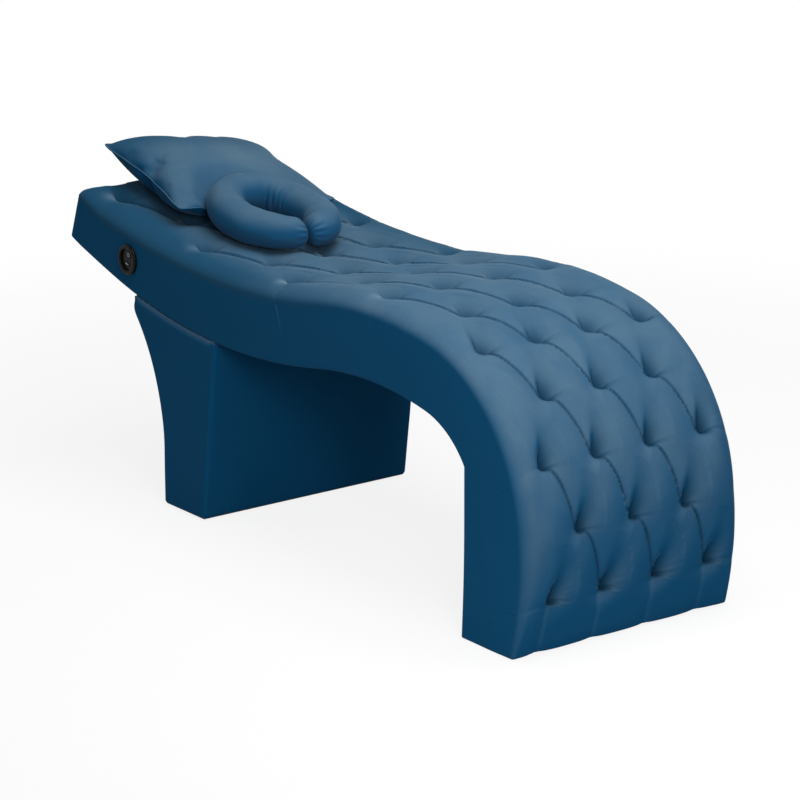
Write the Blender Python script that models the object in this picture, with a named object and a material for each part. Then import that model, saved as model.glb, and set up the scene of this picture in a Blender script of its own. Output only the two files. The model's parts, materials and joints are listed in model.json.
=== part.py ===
"""Eyelash extension bed: an S-curved, deep tufted velvet bed on a slab pedestal and its own foot."""

import math

import bmesh
import bpy
from mathutils import Matrix, Vector

# Overall
BED_WIDTH = 0.65
GLIDE_HEIGHT = 0.004
SEAT_GAP = 0.0003
CURVE_STEP = 0.045
LIP_STEP = 0.008
CUT_MARGIN = 0.002
SHIN_RUN_ON = 1.3

# Side view: the head end, measured from the underside's lowest point
HEAD_REACH = 0.746
HEAD_LEAN = 0.0445
SEAT_THICKNESS = 0.188
LEG_THICKNESS = 0.229

# Underside of the bed, tangent arcs walked from the head end
UNDERSIDE_LOW_HEIGHT = 0.487
UNDERSIDE_HEAD_RADIUS = 1.95
UNDERSIDE_RISE_ANGLE = 10.4
UNDERSIDE_CREST_RADIUS = 1.10
UNDERSIDE_FALL_ANGLE = 12.0
UNDERSIDE_KNEE_RADIUS = 0.237
UNDERSIDE_KNEE_ANGLE = 56.0

# Top of the bed, tangent arcs walked from the head end
TOP_HEAD_RADIUS = 2.84
TOP_SEAT_RADIUS = 2.07
TOP_RISE_ANGLE = 9.6
TOP_CREST_RADIUS = 1.285
TOP_FALL_ANGLE = 10.0
FOOT_TUCK = 0.0446

# Upholstery
COVER_THICKNESS = 0.040
FOAM_THICKNESS = 0.040
PUFF = 0.004
EDGE_ROLL = 0.060
HEAD_ROLL = 0.020
FOOT_ROLL = 0.020
ROLL_DROP = 0.036
HEAD_DROP = 0.014
FOOT_DROP = 0.014
FOOT_EDGE_RUN = 0.30
FOOT_EDGE_SHARE = 0.45
TUFT_DEPTH = 0.026
TUFT_SPREAD = 0.030
SHIN_ROW_PITCH = 0.16
SHIN_ROWS = 6
SEAT_ROW_PITCH = 0.195
TUFT_COLUMN_PITCH = 0.16
LOWEST_TUFT = 0.137
HIGHEST_TUFT = 0.06
HEAD_ROWS = (0.0, 0.010, 0.022)
HEAD_ROWS_END = 0.035
ROW_MARGIN = 0.004
FOOT_ROW_SHARES = (0.6, 0.3, 0.12, 0.0)
EDGE_COLUMN_SHARES = (0.83, 0.42, 0.13, 0.0)
SIDE_COVER = 0.010
SIDE_SOFTNESS = 0.004

# Frame
RIB_THICKNESS = 0.018
DECK_THICKNESS = 0.006
BELLY_THICKNESS = 0.006
SLAT_WIDTH = 0.045
SLAT_HEIGHT = 0.020
SLAT_PLACES = (0.10, 0.38, 0.66, 0.94, 1.22, 1.50, 1.77, 2.04)
HEAD_BOARD_THICKNESS = 0.018
SILL_HEIGHT = 0.025
RAIL_WIDTH = 0.045
RAIL_HEIGHT = 0.040
RAIL_OFFSETS = (-0.024, 0.154)

# Pedestal
PEDESTAL_OUTER_X = -0.330
PEDESTAL_DEPTH = 0.182
PEDESTAL_LEAN = 0.131
PEDESTAL_FLARE_RADIUS = 0.52
PEDESTAL_FLARE_ANGLE = 40.0
PEDESTAL_LIP_RADIUS = 0.035
PEDESTAL_LIP_ANGLE = 70.0
PEDESTAL_LIP_GAP = 0.0166
PEDESTAL_COVER = 0.006
PEDESTAL_EDGE = 0.010
CHEEK_THICKNESS = 0.015
PEDESTAL_BOARD = 0.012
PEDESTAL_SKIN = 0.008
PEDESTAL_TOP = 0.025
PEDESTAL_FLOOR = 0.015

# Bolts and glides
BOLT_RADIUS = 0.004
BOLT_HOLE_RADIUS = 0.0043
BOLT_HEAD_RADIUS = 0.0085
BOLT_HEAD_HEIGHT = 0.0055
BOLT_ACROSS = 0.20
GLIDE_RADIUS = 0.014
PEDESTAL_GLIDE_ACROSS = 0.25
PEDESTAL_GLIDE_SPREAD = 0.055
FOOT_GLIDE_ACROSS = (-0.26, -0.09, 0.09, 0.26)

# Control
CONTROL_X = -0.474
CONTROL_DEPTH = 0.0878
CONTROL_TILT = 14.0
BEZEL_RADIUS = 0.040
BEZEL_OPENING = 0.029
BEZEL_HEIGHT = 0.009
BEZEL_ROUND = 0.003
CAN_RADIUS = 0.0325
CAN_BORE = 0.030
CAN_LEDGE = 0.0275
CAN_DEPTH = 0.0275
CAN_FLOOR = 0.0025
FACE_BACK = 0.0006
FACE_FRONT = 0.0026
BOARD_FRONT = -0.0104
BOARD_BACK = -0.012
KEY_CLEARANCE = 0.0005
KEY_FRONT = 0.0045
KEY_FLANGE_BACK = -0.0012
KEY_STEM_BACK = -0.0075
KEY_STEM_SHARE = 0.5
KEY_FLANGE = 0.0025
KEY_CROWN = 0.0012
KEY_CROWN_HEIGHT = 0.0007
POWER_KEY_RADIUS = 0.0095
POWER_KEY_UP = 0.0135
MODE_KEY_LENGTH = 0.022
MODE_KEY_HEIGHT = 0.0085
MODE_KEY_DOWN = 0.012
LEAD_RADIUS = 0.0025
LEAD_EXIT_SIDE = 0.010
LEAD_EXIT_DOWN = 0.014

# Massage motors and power inlet
MOTOR_BAYS = (1, 3)
MOTOR_PLATE = 0.060
MOTOR_SEAT = 0.0005
MOTOR_PLATE_THICKNESS = 0.003
MOTOR_RADIUS = 0.015
MOTOR_DROP = 0.020
MOTOR_LENGTH = 0.036
SHAFT_RADIUS = 0.002
SHAFT_BORE = 0.00208
SHAFT_DEPTH = 0.010
WEIGHT_RADIUS = 0.0145
WEIGHT_FLAT = 0.004
WEIGHT_LENGTH = 0.012
WEIGHT_GAP = 0.0035
INLET_PLACE = 0.156
INLET_ACROSS = 0.15
INLET_RADIUS = 0.007
INLET_FLANGE = 0.011
INLET_FLANGE_THICKNESS = 0.002
INLET_LENGTH = 0.024
INLET_CAP = 0.006
INLET_CAP_HEIGHT = 0.0015
LEAD_RUN = -0.116
SUPPLY_RISE = 0.006
SUPPLY_KNOTS = ((0.03, 0.05, 0.030), (0.08, -0.15, 0.014))
MOTOR_LEAD_SIDE = 0.006
MOTOR_LEAD_OUT = 0.016
CONTROL_LEAD_OUT = 0.012
FIRST_LEAD_KNOTS = ((-0.19, -0.22), (-0.10, -0.10))
SECOND_LEAD_STEPS = (0.10, 0.22, 0.34, 0.46)
SECOND_LEAD_ACROSS = -0.06

# Pillows
PILLOW_PLACE = 0.132
PILLOW_ACROSS = 0.020
PILLOW_LENGTH = 0.362
PILLOW_WIDTH = 0.49
PILLOW_PINCH = 0.10
PILLOW_SEAM = 0.045
PILLOW_TILT = 0.017
PILLOW_ROLL = 0.022
PILLOW_EAR = 0.012
PILLOW_CROWN = 0.072
PILLOW_BELLY = 0.075
PILLOW_FULLNESS = 0.8
NECK_PLACE = 0.470
NECK_ACROSS = -0.029
NECK_HALF_LENGTH = 0.1615
NECK_HALF_WIDTH = 0.1145
NECK_RADIUS = 0.045
NECK_END_RADIUS = 0.030
NECK_RISE = 0.022
NECK_HOLLOW = 0.003
NECK_MOUTH = -6.0
NECK_MOUTH_HALF = 3.0
NECK_STEPS = 30
NECK_TAPER_STEPS = 3

HALF_WIDTH = BED_WIDTH / 2
RIB_OUTER = HALF_WIDTH - SIDE_COVER - SEAT_GAP
RIB_INNER = RIB_OUTER - RIB_THICKNESS
BETWEEN_RIBS = RIB_INNER - SEAT_GAP
DECK_TOP = -COVER_THICKNESS - FOAM_THICKNESS - 2 * SEAT_GAP
DECK_UNDER = DECK_TOP - DECK_THICKNESS
SLAT_TOP = DECK_UNDER - SEAT_GAP
BELLY_INSIDE = BELLY_THICKNESS + SEAT_GAP
HEAD_INSIDE = SIDE_COVER + SEAT_GAP
MOTOR_PLACES = [(SLAT_PLACES[bay] + SLAT_PLACES[bay + 1]) / 2 for bay in MOTOR_BAYS]


class ArcChain:
    """A side-view curve of tangent arcs; a lift moves its points to the left of the walk."""

    def __init__(self, start, heading, arcs):
        """Args: start point (x, z), heading in degrees, arcs as (radius, turn in degrees)."""
        self.arcs = []
        self.length = 0.0
        x, z = start
        angle = math.radians(heading)
        for radius, turn in arcs:
            side = 1.0 if turn > 0 else -1.0
            centre_x = x - side * radius * math.sin(angle)
            centre_z = z + side * radius * math.cos(angle)
            self.arcs.append((self.length, angle, centre_x, centre_z, radius, side))
            self.length += radius * math.radians(abs(turn))
            angle += math.radians(turn)
            x = centre_x + side * radius * math.sin(angle)
            z = centre_z - side * radius * math.cos(angle)

    def arc_at(self, along):
        """The arc that holds a distance along the curve."""
        found = self.arcs[0]
        for arc in self.arcs:
            if along >= arc[0]:
                found = arc
        return found

    def heading(self, along):
        """Heading in radians at a distance along the curve."""
        walked, angle, _, _, radius, side = self.arc_at(along)
        return angle + side * (along - walked) / radius

    def at(self, along, lift=0.0):
        """Point (x, z) at a distance along the curve, moved by the lift."""
        _, _, centre_x, centre_z, radius, side = self.arc_at(along)
        angle = self.heading(along)
        reach = side * radius - lift
        return centre_x + reach * math.sin(angle), centre_z - reach * math.cos(angle)

    def down_to(self, height, lift=0.0):
        """Distance at which the last stretch, moved by the lift, comes down to a height."""
        low, high = self.arcs[-2][0], self.length
        for _ in range(50):
            middle = (low + high) / 2
            if self.at(middle, lift)[1] > height:
                low = middle
            else:
                high = middle
        return low


def spread(first, last, step):
    """Evenly spaced values from first to last, no further apart than the step."""
    count = max(1, math.ceil(abs(last - first) / step))
    return [first + (last - first) * i / count for i in range(count + 1)]


def fall_over(radius, reach):
    """How far an arc that starts level has left that level after a reach along the bed."""
    return radius - math.sqrt(radius ** 2 - reach ** 2)


def underside_curve():
    """The bed's underside from the head end to the knee."""
    lead = math.degrees(math.asin(HEAD_REACH / UNDERSIDE_HEAD_RADIUS))
    start = (-HEAD_REACH, UNDERSIDE_LOW_HEIGHT + fall_over(UNDERSIDE_HEAD_RADIUS, HEAD_REACH))
    arcs = [
        (UNDERSIDE_HEAD_RADIUS, lead + UNDERSIDE_RISE_ANGLE),
        (UNDERSIDE_CREST_RADIUS, -UNDERSIDE_RISE_ANGLE - UNDERSIDE_FALL_ANGLE),
        (UNDERSIDE_KNEE_RADIUS, UNDERSIDE_FALL_ANGLE - UNDERSIDE_KNEE_ANGLE),
    ]
    return ArcChain(start, -lead, arcs)


def top_curve(front_x):
    """The bed's top from the head end over the knee to the floor; its knee reaches front_x."""
    reach = HEAD_REACH - HEAD_LEAN
    lead = math.degrees(math.asin(reach / TOP_HEAD_RADIUS))
    low = UNDERSIDE_LOW_HEIGHT + SEAT_THICKNESS
    rise, fall = math.radians(TOP_RISE_ANGLE), math.radians(TOP_FALL_ANGLE)
    both = TOP_SEAT_RADIUS + TOP_CREST_RADIUS
    knee_x = both * math.sin(rise) + TOP_CREST_RADIUS * math.sin(fall)
    knee_radius = (front_x - knee_x) / (1 - math.sin(fall))
    knee_z = low + both * (1 - math.cos(rise)) - TOP_CREST_RADIUS * (1 - math.cos(fall))
    drop = knee_z - knee_radius * math.cos(fall) - GLIDE_HEIGHT
    shin_radius = (drop ** 2 + FOOT_TUCK ** 2) / (2 * FOOT_TUCK)
    shin_turn = math.degrees(math.asin(drop / shin_radius))
    arcs = [
        (TOP_HEAD_RADIUS, lead),
        (TOP_SEAT_RADIUS, TOP_RISE_ANGLE),
        (TOP_CREST_RADIUS, -TOP_RISE_ANGLE - TOP_FALL_ANGLE),
        (knee_radius, TOP_FALL_ANGLE - 90.0),
        (shin_radius, -SHIN_RUN_ON * shin_turn),
    ]
    return ArcChain((-reach, low + fall_over(TOP_HEAD_RADIUS, reach)), -lead, arcs)


def pedestal_curve():
    """The pedestal's outer face above its straight foot, walked upwards to its lip under the bed."""
    arcs = [
        (PEDESTAL_FLARE_RADIUS, PEDESTAL_FLARE_ANGLE),
        (PEDESTAL_LIP_RADIUS, -PEDESTAL_LIP_ANGLE),
    ]
    grounded = ArcChain((PEDESTAL_OUTER_X, 0.0), 90.0, arcs)
    lip_x, rise = grounded.at(grounded.length)
    lip_z = UNDERSIDE_LOW_HEIGHT + fall_over(UNDERSIDE_HEAD_RADIUS, lip_x) - PEDESTAL_LIP_GAP
    return ArcChain((PEDESTAL_OUTER_X, lip_z - rise), 90.0, arcs)


UNDERSIDE = underside_curve()
LEG_INNER_X, KNEE_END_Z = UNDERSIDE.at(UNDERSIDE.length)
BED_FRONT_X = LEG_INNER_X + LEG_THICKNESS
TOP = top_curve(BED_FRONT_X)
PEDESTAL = pedestal_curve()
FOOT_END = TOP.down_to(GLIDE_HEIGHT)


def tuft_lines():
    """Places of the lines of tufts along the top curve, from the foot to the head end."""
    shin = [FOOT_END - LOWEST_TUFT - i * SHIN_ROW_PITCH for i in range(SHIN_ROWS)]
    count = int((shin[-1] - HIGHEST_TUFT) / SEAT_ROW_PITCH)
    return shin + [shin[-1] - (i + 1) * SEAT_ROW_PITCH for i in range(count)]


def cover_rows():
    """Places along the top curve that every layer shares, with a row at each line of tufts."""
    lines = tuft_lines()
    rows = []
    for line, above in zip(lines, lines[1:] + [lines[-1] - SEAT_ROW_PITCH]):
        rows += [line + (above - line) * i / 3 for i in range(3)]
    foot = [FOOT_END - share * LOWEST_TUFT for share in FOOT_ROW_SHARES]
    return list(HEAD_ROWS) + [along for along in reversed(rows) if along > HEAD_ROWS_END] + foot


ROWS = cover_rows()


def stretched(along, lift):
    """A point over the top curve (x, z), stretched so that the last row lies at the glides' height."""
    end = TOP.down_to(GLIDE_HEIGHT, lift)
    return TOP.at(along * end / FOOT_END, lift)


def faceted(along, lift):
    """A point (x, z) on the straight runs between the shared rows."""
    index = max(i for i, row in enumerate(ROWS[:-1]) if row <= along)
    low, high = ROWS[index], ROWS[index + 1]
    share = (along - low) / (high - low)
    near, far = stretched(low, lift), stretched(high, lift)
    return tuple(a + share * (b - a) for a, b in zip(near, far))


def clear_scene():
    """Remove every object of the start file."""
    for old in list(bpy.data.objects):
        bpy.data.objects.remove(old, do_unlink=True)


def empty(name, parent=None, location=(0, 0, 0), rotation=(0, 0, 0)):
    """A named frame that pieces hang on."""
    frame = bpy.data.objects.new(name, None)
    bpy.context.collection.objects.link(frame)
    frame.parent = parent
    frame.location = location
    frame.rotation_euler = rotation
    return frame


def finish_material(name, colour, roughness, metallic=0.0):
    """One plain Principled material."""
    made = bpy.data.materials.new(name)
    made.use_nodes = True
    shader = made.node_tree.nodes["Principled BSDF"]
    shader.inputs["Base Color"].default_value = (*colour, 1.0)
    shader.inputs["Roughness"].default_value = roughness
    shader.inputs["Metallic"].default_value = metallic
    return made


def put(name, shape, finish, parent, location=(0, 0, 0), rotation=(0, 0, 0)):
    """Turn a bmesh into a named object on its parent frame."""
    bmesh.ops.recalc_face_normals(shape, faces=shape.faces)
    mesh = bpy.data.meshes.new(name)
    shape.to_mesh(mesh)
    shape.free()
    mesh.materials.append(finish)
    made = bpy.data.objects.new(name, mesh)
    bpy.context.collection.objects.link(made)
    made.parent = parent
    made.location = location
    made.rotation_euler = rotation
    return made


def loft(sections, ring=False):
    """A closed body through sections of equal point count; a ring joins its last to its first."""
    shape = bmesh.new()
    rows = [[shape.verts.new(point) for point in section] for section in sections]
    if ring:
        rows.append(rows[0])
    else:
        shape.faces.new(rows[0])
        shape.faces.new(rows[-1])
    for row, after in zip(rows, rows[1:]):
        for i in range(len(row)):
            j = (i + 1) % len(row)
            shape.faces.new((row[i], row[j], after[j], after[i]))
    return shape


def across(outline, *places):
    """A side-view outline (x, z) carried to places across the bed."""
    return loft([[(x, y, z) for x, z in outline] for y in places])


def circle(radius, sides=24):
    """Points of a circle in its own plane."""
    turns = [2 * math.pi * i / sides for i in range(sides)]
    return [(radius * math.cos(turn), radius * math.sin(turn)) for turn in turns]


def stadium(length, height, sides=12):
    """Points of a bar with round ends in its own plane."""
    radius = height / 2
    reach = length / 2 - radius
    points = []
    for i in range(sides + 1):
        turn = -math.pi / 2 + math.pi * i / sides
        points.append((reach + radius * math.cos(turn), radius * math.sin(turn)))
    return points + [(-x, -y) for x, y in points]


def stack(levels, ring=False):
    """A body through flat outlines at heights, given as (outline, height)."""
    return loft([[(x, y, height) for x, y in outline] for outline, height in levels], ring)


def turned(profile, ring=False, sides=24):
    """A turned body through (radius, height) pairs."""
    return stack([(circle(radius, sides), height) for radius, height in profile], ring)


def tube(points, radius, sides=8):
    """A round lead through points, with flat ends."""
    sections = []
    guide = Vector((0.0, 0.0, 1.0))
    for i, point in enumerate(points):
        ahead = points[min(i + 1, len(points) - 1)] - points[max(i - 1, 0)]
        ahead.normalize()
        side = ahead.cross(guide).normalized()
        guide = side.cross(ahead).normalized()
        ring = [point + side * x + guide * y for x, y in circle(radius, sides)]
        sections.append(ring)
    return loft(sections)


def smooth_path(knots, steps=5):
    """Points of a soft curve through the knots."""
    last = len(knots) - 1
    headings = [(knots[min(i + 1, last)] - knots[max(i - 1, 0)]).normalized() for i in range(last + 1)]
    points = []
    for i in range(last):
        reach = (knots[i + 1] - knots[i]).length
        for step in range(steps):
            t = step / steps
            start = (2 * t ** 3 - 3 * t ** 2 + 1) * knots[i] + (3 * t ** 2 - 2 * t ** 3) * knots[i + 1]
            bend = (t ** 3 - 2 * t ** 2 + t) * headings[i] + (t ** 3 - t ** 2) * headings[i + 1]
            points.append(start + reach * bend)
    return points + [knots[-1]]


def cut(target, cutter):
    """Take a cutter's body out of a piece and keep the cutter out of sight."""
    step = target.modifiers.new(cutter.name, "BOOLEAN")
    step.operation = "DIFFERENCE"
    step.solver = "EXACT"
    step.object = cutter
    cutter.hide_render = True
    cutter.display_type = "WIRE"


def top_run(lift, first=0.0):
    """Points along the top curve at a lift, on the shared rows, down to the glides' height."""
    rows = [first] + [along for along in ROWS if along > first + ROW_MARGIN]
    return [stretched(along, lift) for along in rows]


def underside_run(lift, first=0.0):
    """Points along the underside from the head end to the knee at a lift."""
    return [UNDERSIDE.at(along, lift) for along in spread(first, UNDERSIDE.length, CURVE_STEP)]


def side_outline(first, top_lift, under_lift, leg_inset):
    """The bed's side view between a top lift and an underside lift."""
    leg_x = LEG_INNER_X + leg_inset
    under = underside_run(under_lift, first)
    under[-1] = (leg_x, under[-1][1])
    return top_run(top_lift, first) + [(leg_x, GLIDE_HEIGHT)] + list(reversed(under))


def roll_drop(distance, width, drop):
    """How far a rolled edge has fallen at a distance from the edge."""
    if distance >= width:
        return 0.0
    share = 1.0 - max(distance, 0.0) / width
    return drop * (1.0 - math.sqrt(1.0 - share * share))


def edge_size(along):
    """Share of the side rolls' full size at a distance along the bed; they tighten to the floor."""
    tight = max(0.0, 1 - (FOOT_END - along) / FOOT_EDGE_RUN)
    return 1 - (1 - FOOT_EDGE_SHARE) * tight


def tufts():
    """Places (along, across) of the tufts, rows of four and of three in turn."""
    places = []
    for number, along in enumerate(tuft_lines()):
        count = 4 - number % 2
        places += [(along, (i - (count - 1) / 2) * TUFT_COLUMN_PITCH) for i in range(count)]
    return places


def cover_lift(along, y, places):
    """Height of the cover's face over the top curve."""
    size = edge_size(along)
    side = roll_drop(HALF_WIDTH - abs(y), EDGE_ROLL * size, ROLL_DROP * size)
    head = roll_drop(along, HEAD_ROLL, HEAD_DROP)
    foot = roll_drop(FOOT_END - along, FOOT_ROLL, FOOT_DROP)
    fall = min(ROLL_DROP + PUFF, math.hypot(side, head) + foot)
    pit = sum(math.exp(-((along - s) ** 2 + (y - t) ** 2) / TUFT_SPREAD ** 2) for s, t in places)
    return PUFF - max(fall, TUFT_DEPTH * min(pit, 1.0))


def tufted_cover():
    """The quilted velvet cover: flat below, rolled at its edges and drawn down at the tufts."""
    places = tufts()
    inner = [i * TUFT_COLUMN_PITCH / 4 for i in range(7)]
    half = inner + [HALF_WIDTH - EDGE_ROLL * share for share in EDGE_COLUMN_SHARES]
    columns = [-y for y in reversed(half[1:])] + half
    sections = []
    for along in ROWS:
        path = [(y, cover_lift(along, y, places)) for y in columns]
        path += [(HALF_WIDTH, -COVER_THICKNESS), (-HALF_WIDTH, -COVER_THICKNESS)]
        section = []
        for y, lift in path:
            x, z = stretched(along, lift)
            section.append((x, y, z))
        sections.append(section)
    return loft(sections)


def slab(upper, lower):
    """A sheet or slab of even thickness between the ribs that follows the top curve to the foot."""
    outline = top_run(upper, HEAD_INSIDE) + list(reversed(top_run(lower, HEAD_INSIDE)))
    return across(outline, -BETWEEN_RIBS, BETWEEN_RIBS)


def slat(along):
    """A slat under the deck at a distance along the bed; its top follows the deck's runs."""
    near, far = along - SLAT_WIDTH / 2, along + SLAT_WIDTH / 2
    places = [near] + [row for row in ROWS if near < row < far] + [far]
    outline = [faceted(place, SLAT_TOP) for place in places]
    outline += [faceted(place, SLAT_TOP - SLAT_HEIGHT) for place in (far, near)]
    return across(outline, -BETWEEN_RIBS, BETWEEN_RIBS)


def pedestal_outer(inset):
    """Points up the pedestal's outer face, moved inwards by the inset."""
    points = [(PEDESTAL_OUTER_X + inset, GLIDE_HEIGHT)]
    for along in spread(0.0, PEDESTAL.arcs[1][0], CURVE_STEP):
        points.append(PEDESTAL.at(along, -inset))
    for along in spread(PEDESTAL.arcs[1][0], PEDESTAL.length, LIP_STEP)[1:]:
        points.append(PEDESTAL.at(along, -inset))
    return points


def pedestal_inner_x(z, inset=0.0):
    """Place of the pedestal's inner face at a height."""
    return PEDESTAL_OUTER_X + PEDESTAL_DEPTH + PEDESTAL_LEAN * z - inset


def underside_between(low_x, high_x, lift):
    """Points along the underside's head arc between two places along the bed."""
    radius = UNDERSIDE_HEAD_RADIUS - lift
    low = UNDERSIDE_LOW_HEIGHT + lift
    return [(x, low + fall_over(radius, x)) for x in spread(low_x, high_x, CURVE_STEP)]


def rail_places():
    """Distances along the underside of the two rails over the pedestal."""
    places = []
    for offset in RAIL_OFFSETS:
        turn = math.asin((PEDESTAL_OUTER_X + offset) / UNDERSIDE_HEAD_RADIUS)
        places.append(UNDERSIDE_HEAD_RADIUS * (turn - UNDERSIDE.heading(0.0)))
    return places


def pedestal_outline(inset, top_lift):
    """The pedestal's side view, drawn in from its faces and below the bed's underside."""
    outer = pedestal_outer(inset)
    inner_x = pedestal_inner_x(UNDERSIDE_LOW_HEIGHT, inset)
    top = underside_between(outer[-1][0], inner_x, top_lift)
    return outer + top + [(pedestal_inner_x(GLIDE_HEIGHT, inset), GLIDE_HEIGHT)]


def rounded(target, width, segments=2):
    """Soften the upright edges of a piece."""
    step = target.modifiers.new("soft edges", "BEVEL")
    step.width = width
    step.segments = segments
    step.limit_method = "ANGLE"
    step.angle_limit = math.radians(60)


def build_frame(root, finishes):
    """Ribs, slats, deck, panels and boards of the bed's wooden frame."""
    rib_outline = side_outline(HEAD_INSIDE, -COVER_THICKNESS - SEAT_GAP, BELLY_INSIDE, BELLY_INSIDE)
    near = put("rib_near", across(rib_outline, -RIB_OUTER, -RIB_INNER), finishes["plywood"], root)
    put("rib_far", across(rib_outline, RIB_INNER, RIB_OUTER), finishes["plywood"], root)
    for number, along in enumerate(SLAT_PLACES, 1):
        put(f"slat_{number}", slat(along), finishes["pine"], root)
    put("deck_sheet", slab(DECK_TOP, DECK_UNDER), finishes["plywood"], root)

    run = underside_run(0.0, HEAD_INSIDE) + list(reversed(underside_run(BELLY_THICKNESS, HEAD_INSIDE)))
    belly = put("belly_panel", across(run, -RIB_OUTER, RIB_OUTER), finishes["velvet"], root)
    leg_x = LEG_INNER_X + BELLY_THICKNESS
    leg_top = KNEE_END_Z - SEAT_GAP
    leg = [(LEG_INNER_X, GLIDE_HEIGHT), (leg_x, GLIDE_HEIGHT), (leg_x, leg_top), (LEG_INNER_X, leg_top)]
    put("leg_inner_panel", across(leg, -RIB_OUTER, RIB_OUTER), finishes["velvet"], root)

    back = HEAD_INSIDE + HEAD_BOARD_THICKNESS
    board = [
        UNDERSIDE.at(HEAD_INSIDE, BELLY_INSIDE),
        UNDERSIDE.at(back, BELLY_INSIDE),
        TOP.at(back, SLAT_TOP),
        TOP.at(HEAD_INSIDE, SLAT_TOP),
    ]
    put("head_board", across(board, -BETWEEN_RIBS, BETWEEN_RIBS), finishes["pine"], root)

    sill_top = GLIDE_HEIGHT + SILL_HEIGHT
    sill_x = leg_x + SEAT_GAP
    sill = [
        (sill_x, GLIDE_HEIGHT),
        TOP.at(TOP.down_to(GLIDE_HEIGHT, SLAT_TOP), SLAT_TOP),
        TOP.at(TOP.down_to(sill_top, SLAT_TOP), SLAT_TOP),
        (sill_x, sill_top),
    ]
    put("foot_sill", across(sill, -BETWEEN_RIBS, BETWEEN_RIBS), finishes["pine"], root)

    rails = []
    for name, along in zip(("mount_rail_rear", "mount_rail_front"), rail_places()):
        ends = (along - RAIL_WIDTH / 2, along + RAIL_WIDTH / 2)
        outline = [UNDERSIDE.at(place, BELLY_INSIDE) for place in ends]
        outline += [UNDERSIDE.at(place, BELLY_INSIDE + RAIL_HEIGHT) for place in reversed(ends)]
        rails.append(put(name, across(outline, -BETWEEN_RIBS, BETWEEN_RIBS), finishes["pine"], root))
    return near, belly, rails


def build_upholstery(root, finishes):
    """Foam, tufted cover and the covers of the sides and the head end."""
    foam = slab(-COVER_THICKNESS - SEAT_GAP, DECK_TOP + SEAT_GAP)
    put("foam_slab", foam, finishes["foam"], root)
    put("tufted_cover", tufted_cover(), finishes["velvet"], root)

    edge = -COVER_THICKNESS - SEAT_GAP
    full = side_outline(0.0, edge, 0.0, 0.0)
    soft = side_outline(SIDE_SOFTNESS, edge - SIDE_SOFTNESS, SIDE_SOFTNESS, SIDE_SOFTNESS)
    levels = (RIB_OUTER + SEAT_GAP, HALF_WIDTH - SIDE_SOFTNESS, HALF_WIDTH)
    covers = []
    for name, sign in (("side_cover_near", -1), ("side_cover_far", 1)):
        outlines = zip((full, full, soft), levels)
        sections = [[(x, sign * y, z) for x, z in outline] for outline, y in outlines]
        covers.append(put(name, loft(sections), finishes["velvet"], root))

    head = [UNDERSIDE.at(0.0), UNDERSIDE.at(SIDE_COVER), TOP.at(SIDE_COVER, edge), TOP.at(0.0, edge)]
    put("head_cover", across(head, -RIB_OUTER, RIB_OUTER), finishes["velvet"], root)
    return covers[0]


def build_pedestal(root, finishes):
    """The pedestal's box of boards and its velvet sleeve."""
    outside = pedestal_outline(0.0, -SEAT_GAP)
    sleeve = put("pedestal_cover", across(outside, -HALF_WIDTH, HALF_WIDTH), finishes["velvet"], root)
    rounded(sleeve, PEDESTAL_EDGE)
    inner = pedestal_outer(PEDESTAL_COVER)
    high, low = UNDERSIDE.at(0.0)[1], -GLIDE_HEIGHT
    core = [(inner[0][0], low)] + inner + [(inner[-1][0], high)]
    core += [(pedestal_inner_x(z, PEDESTAL_COVER), z) for z in (high, low)]
    reach = HALF_WIDTH - PEDESTAL_COVER
    cut(sleeve, put("sleeve_core", across(core, -reach, reach), finishes["velvet"], root))

    inset = PEDESTAL_COVER + SEAT_GAP
    cheek = pedestal_outline(inset, -SEAT_GAP)
    cheek_outer = reach - SEAT_GAP
    cheek_inner = cheek_outer - CHEEK_THICKNESS
    put("pedestal_cheek_near", across(cheek, -cheek_outer, -cheek_inner), finishes["plywood"], root)
    put("pedestal_cheek_far", across(cheek, cheek_inner, cheek_outer), finishes["plywood"], root)

    between = cheek_inner - SEAT_GAP
    skin = pedestal_outer(inset) + list(reversed(pedestal_outer(inset + PEDESTAL_SKIN)))
    put("pedestal_outer_skin", across(skin, -between, between), finishes["hardboard"], root)

    behind = inset + PEDESTAL_BOARD
    board_top = UNDERSIDE_LOW_HEIGHT - PEDESTAL_TOP - 2 * SEAT_GAP
    heights = (GLIDE_HEIGHT, board_top)
    board = [(pedestal_inner_x(z, inset), z) for z in heights]
    board += [(pedestal_inner_x(z, behind), z) for z in reversed(heights)]
    put("pedestal_inner_board", across(board, -between, between), finishes["plywood"], root)

    skin_inside = pedestal_outer(inset + PEDESTAL_SKIN + SEAT_GAP)
    floor_top = GLIDE_HEIGHT + PEDESTAL_FLOOR
    floor = [(skin_inside[0][0], z) for z in (floor_top, GLIDE_HEIGHT)]
    floor += [(pedestal_inner_x(z, behind + SEAT_GAP), z) for z in (GLIDE_HEIGHT, floor_top)]
    put("pedestal_floor_board", across(floor, -between, between), finishes["plywood"], root)

    top_start = max(x for x, z in skin_inside[-6:])
    top_end = pedestal_inner_x(board_top, inset)
    top = underside_between(top_start, top_end, -SEAT_GAP)
    top += list(reversed(underside_between(top_start, top_end, -SEAT_GAP - PEDESTAL_TOP)))
    return put("pedestal_top_board", across(top, -between, between), finishes["plywood"], root)


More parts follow.
